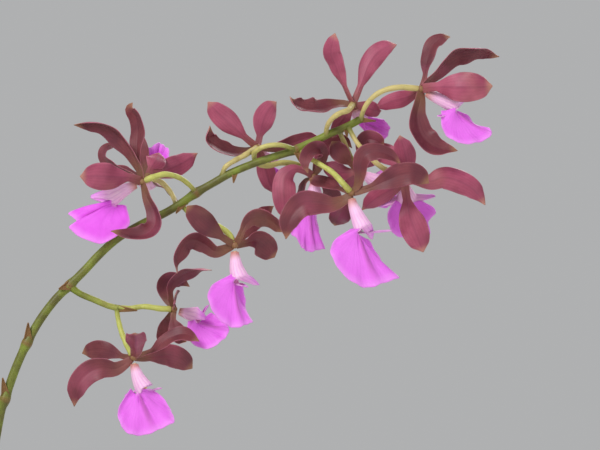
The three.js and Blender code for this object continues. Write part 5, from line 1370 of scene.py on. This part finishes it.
# Flower stalk.
def node_swell(spot):
    """How near a point of the stalk is to one of its joints, from 0 to 1."""
    near = min((spot - place(node)).length for node in STEM_NODES)
    return math.exp(-(near / 2.2) ** 2)


def pedicel_points(bloom):
    points = [place(station) for station in bloom["pedicel"]]
    heart = place(bloom["heart"])
    away = (points[-1] - heart).normalized()
    points.append(heart + away * HEART_RADIUS * 0.7)
    return points


def make_stalk(colours, sweep):
    lines = []
    for stations, radii in ((STEM, (PEDUNCLE_RADIUS, RACHIS_RADIUS)), (SIDE_BRANCH, (1.35, 1.25))):
        path = Path([place(station) for station in stations], 600)
        count = 260 if stations is STEM else 40
        line = []
        for k in range(count + 1):
            u = k / count
            spot = path.at(u)
            swell = node_swell(spot)
            girth = lerp(*radii, u) + 0.5 * swell + 0.05 * noise.noise(spot * 0.25)
            joint = min((place(node) for node in STEM_NODES), key=lambda node: (node - spot).length)
            scar = math.exp(-((spot - joint).length / 0.9) ** 2)
            pale = 0.0 if stations is STEM else smoothstep(u, 0.1, 0.9) * 0.5
            line.append((spot, {"girth": girth * MM, "pale": pale, "scar": scar * 0.8}))
        lines.append(line)
    for index, bloom in enumerate(BLOOMS):
        path = Path(pedicel_points(bloom))
        line = []
        for k in range(61):
            u = k / 60
            girth = PEDICEL_RADIUS * (0.86 + 0.34 * u)
            girth *= 1 + 0.25 * math.exp(-(u / 0.05) ** 2) + 0.04 * math.sin(u * 30 + index)
            line.append((path.at(u), {"girth": girth * MM, "pale": smoothstep(u, -0.05, 0.22),
                                      "cream": PEDICEL_CREAM[index], "scar": 0.3 * smoothstep(u, 0.9, 1.0)}))
        lines.append(line)
    source = lines_object("stalk_lines", lines, ("girth", "pale", "scar", "cream"))
    stalk = bake(source, sweep, {"Finish": stalk_finish(colours).material, "Step": 0.5 * MM, "Sides": 18},
                 "arching_stalk")
    settle(stalk, "stalk", "flower_stalk")

    skin = Skin()
    for root, tip, width in BRACTS:
        start, end = place(root), place(tip)
        middle = start.lerp(end, 0.5) + Vector((0, -0.4, 0))
        skin.blade(blade_grid([start, middle, end], (0, 0), 0.9, 18, 10,
                              lambda u, width=width: width * (1 - 0.9 * u ** 1.3)), lambda u, v: 0.3)
    bracts = skin.build("stalk_bracts", [bract_finish()])
    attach(bracts, "root")


# Blooms.
def width_share(shape, u):
    form = TEPAL_SHAPES[shape]
    if u <= form["claw"]:
        return form["claw_width"]
    s = (u - form["claw"]) / (1 - form["claw"])
    swell = math.sin(math.pi * s ** (math.log(0.5) / math.log(form["widest"])))
    floor = lerp(form["claw_width"], form["tip"], s)
    return floor + (1 - floor) * max(swell, 0) ** 0.85


def blade_grid(spine, roll, cup, steps, cells, width_at, ripple=None, rib=0.0, crease=0.0):
    """A blade along a spine: each row curls towards its face by cup radians, as an arc or a crease."""
    frames = frames_along(Path(spine), steps)
    grid = []
    for i, (point, _, face, side) in enumerate(frames):
        u = i / steps
        angle = math.radians(lerp(*roll, u))
        up = face * math.cos(angle) + side * math.sin(angle)
        across = side * math.cos(angle) - face * math.sin(angle)
        half = width_at(u) / 2
        bend = cup * smoothstep(u, 0, 0.25) + 1e-4
        row = []
        for j in range(cells + 1):
            v = 2 * j / cells - 1
            turn = bend * v
            keel = (math.sqrt(v * v + 0.006) - 0.077) / 0.926
            reach = lerp(math.sin(turn) / bend, v * math.cos(bend / 2), crease)
            rise = lerp((1 - math.cos(turn)) / bend, keel * math.sin(bend / 2), crease)
            spot = point + across * (half * reach) + up * (half * rise)
            lift = -rib * math.exp(-(v / 0.1) ** 2) * smoothstep(u, 0.0, 0.2) * smoothstep(u, 1.0, 0.8)
            if ripple:
                lift += ripple(u, v)
            row.append(spot + up * lift)
        grid.append(row)
    return grid


def lay_tepal(skin, tepal, seed):
    draw = seeded(seed)
    phase, waves, tint = draw() * 6.28, 1.6 + 1.5 * draw(), draw()
    width = tepal["width"]

    def width_at(u):
        share = width_share(tepal["shape"], u) * (1 + 0.03 * math.sin(u * 13 + phase))
        point = TEPAL_SHAPES[tepal["shape"]]["point"]
        return width * share * (0.08 + 0.92 * min(1, (1 - u) / point) ** 0.6)

    def ripple(u, v):
        along = smoothstep(u, 0.2, 0.55) * smoothstep(u, 1.02, 0.9)
        wave = math.sin(2 * math.pi * waves * u + phase + (1.7 if v > 0 else 0))
        return width * abs(v) ** 2.2 * along * 0.06 * wave

    first = place(tepal["spine"][0])
    spine = [first.normalized() * HEART_RADIUS / 2] + [place(station) for station in tepal["spine"]]
    grid = blade_grid(spine, tepal["roll"], tepal["cup"], FRAME_STEPS, TEPAL_CELLS, width_at, ripple,
                      MIDRIB_DEPTH * width, TEPAL_CREASE)
    skin.blade(grid, lambda u, v: 0.6 * (1 - 0.6 * abs(v) ** 3) * (1 - 0.35 * smoothstep(u, 0.85, 1)), tint)


def moved(skin, heart):
    skin.points = [point + heart * MM for point in skin.points]


def column_path(bloom):
    points = [place(station) for station in bloom["column"]]
    return Path([points[0].normalized() * (HEART_RADIUS + 2 * SEAT_GAP)] + points)


def lay_column(skin, bloom):
    path = column_path(bloom)
    frames = frames_along(path, 40)[:36]
    rows = []
    for i, (point, _, face, side) in enumerate(frames):
        u = i / 35
        radius = COLUMN_RADIUS * (0.5 + 0.5 * min(1, 1.6 * u)) * (1 - 0.3 * smoothstep(u, 0.9, 1))
        ring = []
        for j in range(20):
            angle = 2 * math.pi * j / 20
            outward = face * math.cos(angle) + side * math.sin(angle)
            ring.append(skin.point(point + outward * radius, along=u))
        rows.append(ring)
    skin.rings(rows)
    end, along = path.at(COLUMN_SHARE), path.tangent(COLUMN_SHARE)
    skin.ball(end + along * 0.2, COLUMN_RADIUS * 0.86, along * 0.2, slot=1)


def sleeve_frame(bloom, path, s):
    share = lerp(SLEEVE_START, 1, s)
    tangent = path.tangent(share)
    back = place(bloom["open"])
    keel = -(back - back.dot(tangent) * tangent).normalized()
    return path.at(share), tangent, keel, tangent.cross(keel), lerp(*SLEEVE_RADII, s)


def around_sleeve(fit, degrees):
    point, _, keel, side, radius = fit
    angle = math.radians(degrees)
    return point + keel * radius * math.cos(angle) + side * radius * math.sin(angle)


def lay_sleeve(skin, bloom, seed):
    path = column_path(bloom)
    mouth = sleeve_frame(bloom, path, 1)
    cells, tube_rows, flare_rows = 40, 16, 14
    grid = []
    for i in range(tube_rows + 1):
        fit = sleeve_frame(bloom, path, i / tube_rows)
        grid.append([around_sleeve(fit, SLEEVE_WRAP * (2 * j / cells - 1)) for j in range(cells + 1)])
    for i in range(1, flare_rows + 1):
        share = i / flare_rows
        row = []
        for j in range(cells + 1):
            v = 2 * j / cells - 1
            rim = around_sleeve(mouth, SLEEVE_WRAP * v)
            tip = place(bloom["lobes"][1 if v < 0 else 0])
            band = min(max((abs(v) - LOBE_INNER) / (1 - LOBE_INNER), 0), 1)
            reach = math.sin(math.pi * band ** 0.8) ** 0.55
            middle = around_sleeve(mouth, SLEEVE_WRAP * (LOBE_MIDDLE if v > 0 else -LOBE_MIDDLE))
            bow = (rim - mouth[0]).normalized() * math.sin(math.pi * share) * 0.9 * reach
            frill = mouth[1] * 0.3 * math.sin(v * 17 + seed) * share ** 2
            spread = (rim - middle) * (1 - 0.3 * share)
            tongue = middle.lerp(tip, share * reach) + spread
            row.append((rim + mouth[1] * (0.6 * share)).lerp(tongue, min(1, reach * 3)) + bow + frill)
        grid.append(row)
    skin.blade(grid, lambda u, v: 0.5 * (1 - 0.5 * abs(v) ** 3) * (1 - 0.4 * u), slot=1)


def lay_lip(skin, bloom, seed):
    """The lip fans out from the sleeve's mouth to its rim, with a crease down to the notch."""
    draw = seeded(seed)
    phase, tint = draw() * 6.28, draw()
    mouth = sleeve_frame(bloom, column_path(bloom), 1)
    rim = Path([place(station) for station in bloom["rim"]])
    across = rim.at_knot(LIP_SHOULDER) - rim.at_knot(1 - LIP_SHOULDER)
    turn = -1 if mouth[3].dot(across) > 0 else 1
    axis = rim.at_knot(0.5) - around_sleeve(mouth, 0)
    out = axis.cross(across).normalized()
    steps, cells = 44, 88
    grid = []
    for i in range(steps + 1):
        u = i / steps
        row = []
        for j in range(cells + 1):
            v = 2 * j / cells - 1
            w = abs(v)
            base = around_sleeve(mouth, turn * LIP_SPAN * v)
            edge = rim.at_knot((v + 1) / 2)
            edge += (edge - base) * (0.012 * math.sin(v * 19 + phase) + 0.008 * math.sin(v * 43 - phase))
            lift = LIP_SWELL * math.sin(math.pi * u) * (1 - LIP_SWELL_FADE * v * v)
            lift -= 0.8 * math.exp(-(v / 0.05) ** 2) * smoothstep(u, 0.0, 0.15) * smoothstep(u, 1.1, 0.8)
            lift += 0.6 * math.exp(-((w - 0.12) / 0.05) ** 2) * smoothstep(u, 0.45, 0.1)
            frill = math.sin(v * 11 + phase) + 0.45 * math.sin(v * 26 + phase * 2)
            lift += 0.5 * frill * smoothstep(u, 0.55, 1.0)
            lift += 0.22 * math.sin(v * 7 + u * 5 + phase) * math.sin(math.pi * u)
            row.append(base.lerp(edge, u) + out * lift)
        grid.append(row)
    skin.blade(grid, lambda u, v: 0.5 * (1 - 0.45 * u ** 3) * (1 - 0.4 * abs(v) ** 6), tint)


def make_bloom(index, finishes):
    bloom = BLOOMS[index]
    heart = place(bloom["heart"])
    name = f"bloom_{index + 1:02d}"
    petals = Skin()
    petals.ball(Vector(), HEART_RADIUS * 0.85, slot=1)
    for k, tepal in enumerate(bloom["tepals"]):
        lay_tepal(petals, tepal, 100 + 10 * index + k)
    moved(petals, heart)
    settle(petals.build(f"{name}_sepals_and_petals", [finishes["tepal"], finishes["heart"]]),
           "tepal", f"{name}_tepals")
    column = Skin()
    lay_column(column, bloom)
    moved(column, heart)
    settle(column.build(f"{name}_column_and_cap", [finishes["column"], finishes["cap"]]),
           "column", f"{name}_column")
    lip = Skin()
    lay_lip(lip, bloom, 500 + index)
    lay_sleeve(lip, bloom, index)
    moved(lip, heart)
    settle(lip.build(f"{name}_lip_and_lobes", [finishes["lip"], finishes["sleeve"]]), "lip", f"{name}_lip")


# Sizes and colours that a user would change.
def length(label, note, value):
    return FloatProperty(name=label, description=note, default=value, min=0.0, unit="LENGTH",
                         subtype="DISTANCE")


def colour(label, note, code):
    return FloatVectorProperty(name=label, description=note, default=paint(code), size=3, min=0, max=1,
                               subtype="COLOR")


class PotSizes(bpy.types.PropertyGroup):
    height: length("Height", "From the foot to the top of the rim", 0.112)
    base_radius: length("Base Radius", "Outside, at the foot", 0.044)
    top_radius: length("Top Radius", "Outside, under the rim band", 0.060)
    wall: length("Wall", "Thickness of the wall", 0.005)
    floor: length("Floor", "Thickness of the floor", 0.007)
    rim_height: length("Rim Height", "Depth of the rim band", 0.020)
    rim_proud: length("Rim Proud", "How far the rim band stands out", 0.004)
    drain_count: IntProperty(name="Drain Holes", description="Holes through the floor", default=4,
                             min=1, max=8)
    drain_radius: length("Drain Radius", "Radius of each drain hole", 0.0045)
    drain_ring: length("Drain Ring", "Radius of the ring of drain holes", 0.022)
    leaf_width: length("Leaf Width", "Widest part of a strap leaf", 0.024)
    leaf_thickness: length("Leaf Thickness", "Strap leaf at its middle", 0.001)


class PlantColours(bpy.types.PropertyGroup):
    clay: colour("Clay", "Fired clay of the pot", "#a8552f")
    bark: colour("Bark", "Bark chips", "#553420")
    rhizome: colour("Rhizome", "Creeping stem", "#6f6a34")
    bulb: colour("Bulb", "Pseudobulb skin", "#62762c")
    leaf: colour("Leaf", "Upper side of the strap leaves", "#33521c")
    stalk: colour("Stalk", "Lit side of the flower stalk", "#7c8a2c")
    pedicel: colour("Pedicel", "Stems of the single blooms", "#c3c666")
    tepal_back: colour("Tepal Back", "Outer face of sepals and petals", "#8a3550")
    tepal_front: colour("Tepal Front", "Inner face of sepals and petals", "#5e2230")
    lip: colour("Lip", "Blade of the lip", "#d545d8")


class OrchidSettings(bpy.types.PropertyGroup):
    sizes: PointerProperty(type=PotSizes)
    colours: PointerProperty(type=PlantColours)


class Maker(bpy.types.Operator):
    """Shared by the operators below"""
    bl_options = {"REGISTER", "UNDO"}

    def execute(self, context):
        settings = context.scene.potted_orchid
        self.make(settings.sizes, settings.colours)
        return {"FINISHED"}


class ORCHID_OT_pot(Maker):
    """Turn the clay pot and drill its drain holes"""
    bl_idname = "orchid.pot"
    bl_label = "Turn Pot"

    def make(self, sizes, colours):
        make_pot(sizes, colours)


class ORCHID_OT_bark(Maker):
    """Fill the pot with bark"""
    bl_idname = "orchid.bark"
    bl_label = "Fill With Bark"

    def make(self, sizes, colours):
        make_bark(colours, scatter_tree(), sizes)


class ORCHID_OT_rhizome(Maker):
    """Lay the rhizome and its roots over the bark"""
    bl_idname = "orchid.rhizome"
    bl_label = "Lay Rhizome"

    def make(self, sizes, colours):
        make_rhizome(colours, sweep_tree())


class ORCHID_OT_bulbs(Maker):
    """Grow the pseudobulbs in their papery sheaths"""
    bl_idname = "orchid.bulbs"
    bl_label = "Grow Bulbs"

    def make(self, sizes, colours):
        finishes = [bulb_finish(colours), sheath_finish()]
        for index, bulb in enumerate(BULBS):
            make_bulb(index, bulb, finishes)


class ORCHID_OT_leaves(Maker):
    """Grow the strap leaves"""
    bl_idname = "orchid.leaves"
    bl_label = "Grow Leaves"

    def make(self, sizes, colours):
        finish = leaf_finish(colours)
        for index, leaf in enumerate(LEAVES):
            make_leaf(index, leaf, finish, sizes)


class ORCHID_OT_stalk(Maker):
    """Sweep the flower stalk, its side branch and its pedicels, and dress its joints with bracts"""
    bl_idname = "orchid.stalk"
    bl_label = "Raise Stalk"

    def make(self, sizes, colours):
        make_stalk(colours, sweep_tree())


class ORCHID_OT_blooms(Maker):
    """Open every bloom: sepals, petals, column and lip"""
    bl_idname = "orchid.blooms"
    bl_label = "Open Blooms"

    def make(self, sizes, colours):
        finishes = {
            "tepal": tepal_finish(colours), "heart": heart_finish(), "lip": lip_finish(colours),
            "sleeve": sleeve_finish(), "column": column_finish(), "cap": cap_finish(),
        }
        for index in range(len(BLOOMS)):
            make_bloom(index, finishes)


class ORCHID_OT_stage(bpy.types.Operator):
    """Lay the pale floor and set the soft lights and the camera"""
    bl_idname = "orchid.stage"
    bl_label = "Set Stage"

    def execute(self, context):
        scene = context.scene
        scene.view_settings.view_transform = "Standard"
        skin = Skin()
        corners = [skin.point(Vector((x, y, -0.1))) for x, y in
                   ((-4000, -4000), (4000, -4000), (4000, 4000), (-4000, 4000))]
        skin.face(tuple(corners), 0)
        floor = skin.build("studio_floor", [Finish("pale_floor").dress((0.8, 0.79, 0.77, 1.0), 0.9)])
        floor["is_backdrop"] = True

        world = bpy.data.worlds.new("soft_room")
        world.use_nodes = True
        sky = world.node_tree.nodes["Background"]
        sky.inputs["Color"].default_value = (0.86, 0.87, 0.88, 1)
        sky.inputs["Strength"].default_value = 0.5
        scene.world = world

        aim = Vector((0.12, 0, 0.30))
        for label, spot, size, power in (
                ("key", (-0.75, -1.15, 1.35), 0.7, 22), ("fill", (1.3, -1.3, 0.6), 1.2, 5),
                ("rim", (0.7, 1.2, 1.3), 0.8, 14)):
            lamp = bpy.data.lights.new(label, "AREA")
            lamp.shape, lamp.size, lamp.energy = "DISK", size, power
            holder = bpy.data.objects.new(label, lamp)
            holder.location = spot
            holder.rotation_euler = (aim - Vector(spot)).to_track_quat("-Z", "Y").to_euler()
            scene.collection.objects.link(holder)

        lens = bpy.data.cameras.new("view")
        lens.sensor_width, lens.lens = 36, 300
        camera = bpy.data.objects.new("view", lens)
        camera.location = (0.142, -2.0, 0.355)
        camera.rotation_euler = Euler((math.pi / 2, 0, 0))
        scene.collection.objects.link(camera)
        scene.camera = camera
        return {"FINISHED"}


STEPS = (ORCHID_OT_pot, ORCHID_OT_bark, ORCHID_OT_rhizome, ORCHID_OT_bulbs, ORCHID_OT_leaves,
         ORCHID_OT_stalk, ORCHID_OT_blooms, ORCHID_OT_stage)


class ORCHID_PT_panel(bpy.types.Panel):
    """Lists the steps and the sizes and colours that they use"""
    bl_label = "Potted Orchid"
    bl_idname = "ORCHID_PT_panel"
    bl_space_type = "VIEW_3D"
    bl_region_type = "UI"
    bl_category = "Orchid"

    def draw(self, context):
        settings = context.scene.potted_orchid
        for step in STEPS:
            self.layout.operator(step.bl_idname)
        for group in (settings.sizes, settings.colours):
            box = self.layout.box()
            for label in group.__annotations__:
                box.prop(group, label)


CLASSES = (PotSizes, PlantColours, OrchidSettings, *STEPS, ORCHID_PT_panel)


def register():
    for entry in CLASSES:
        bpy.utils.register_class(entry)
    bpy.types.Scene.potted_orchid = PointerProperty(type=OrchidSettings)


def unregister():
    del bpy.types.Scene.potted_orchid
    for entry in reversed(CLASSES):
        bpy.utils.unregister_class(entry)


def corners(box):
    return [[float(value) for value in corner] for corner in box]


def main():
    register()
    for step in STEPS:
        group, name = step.bl_idname.split(".")
        getattr(getattr(bpy.ops, group), name)()
    {"solids": corners(solids_box), "dressed": corners(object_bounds())}


if __name__ == "__main__":
    main()
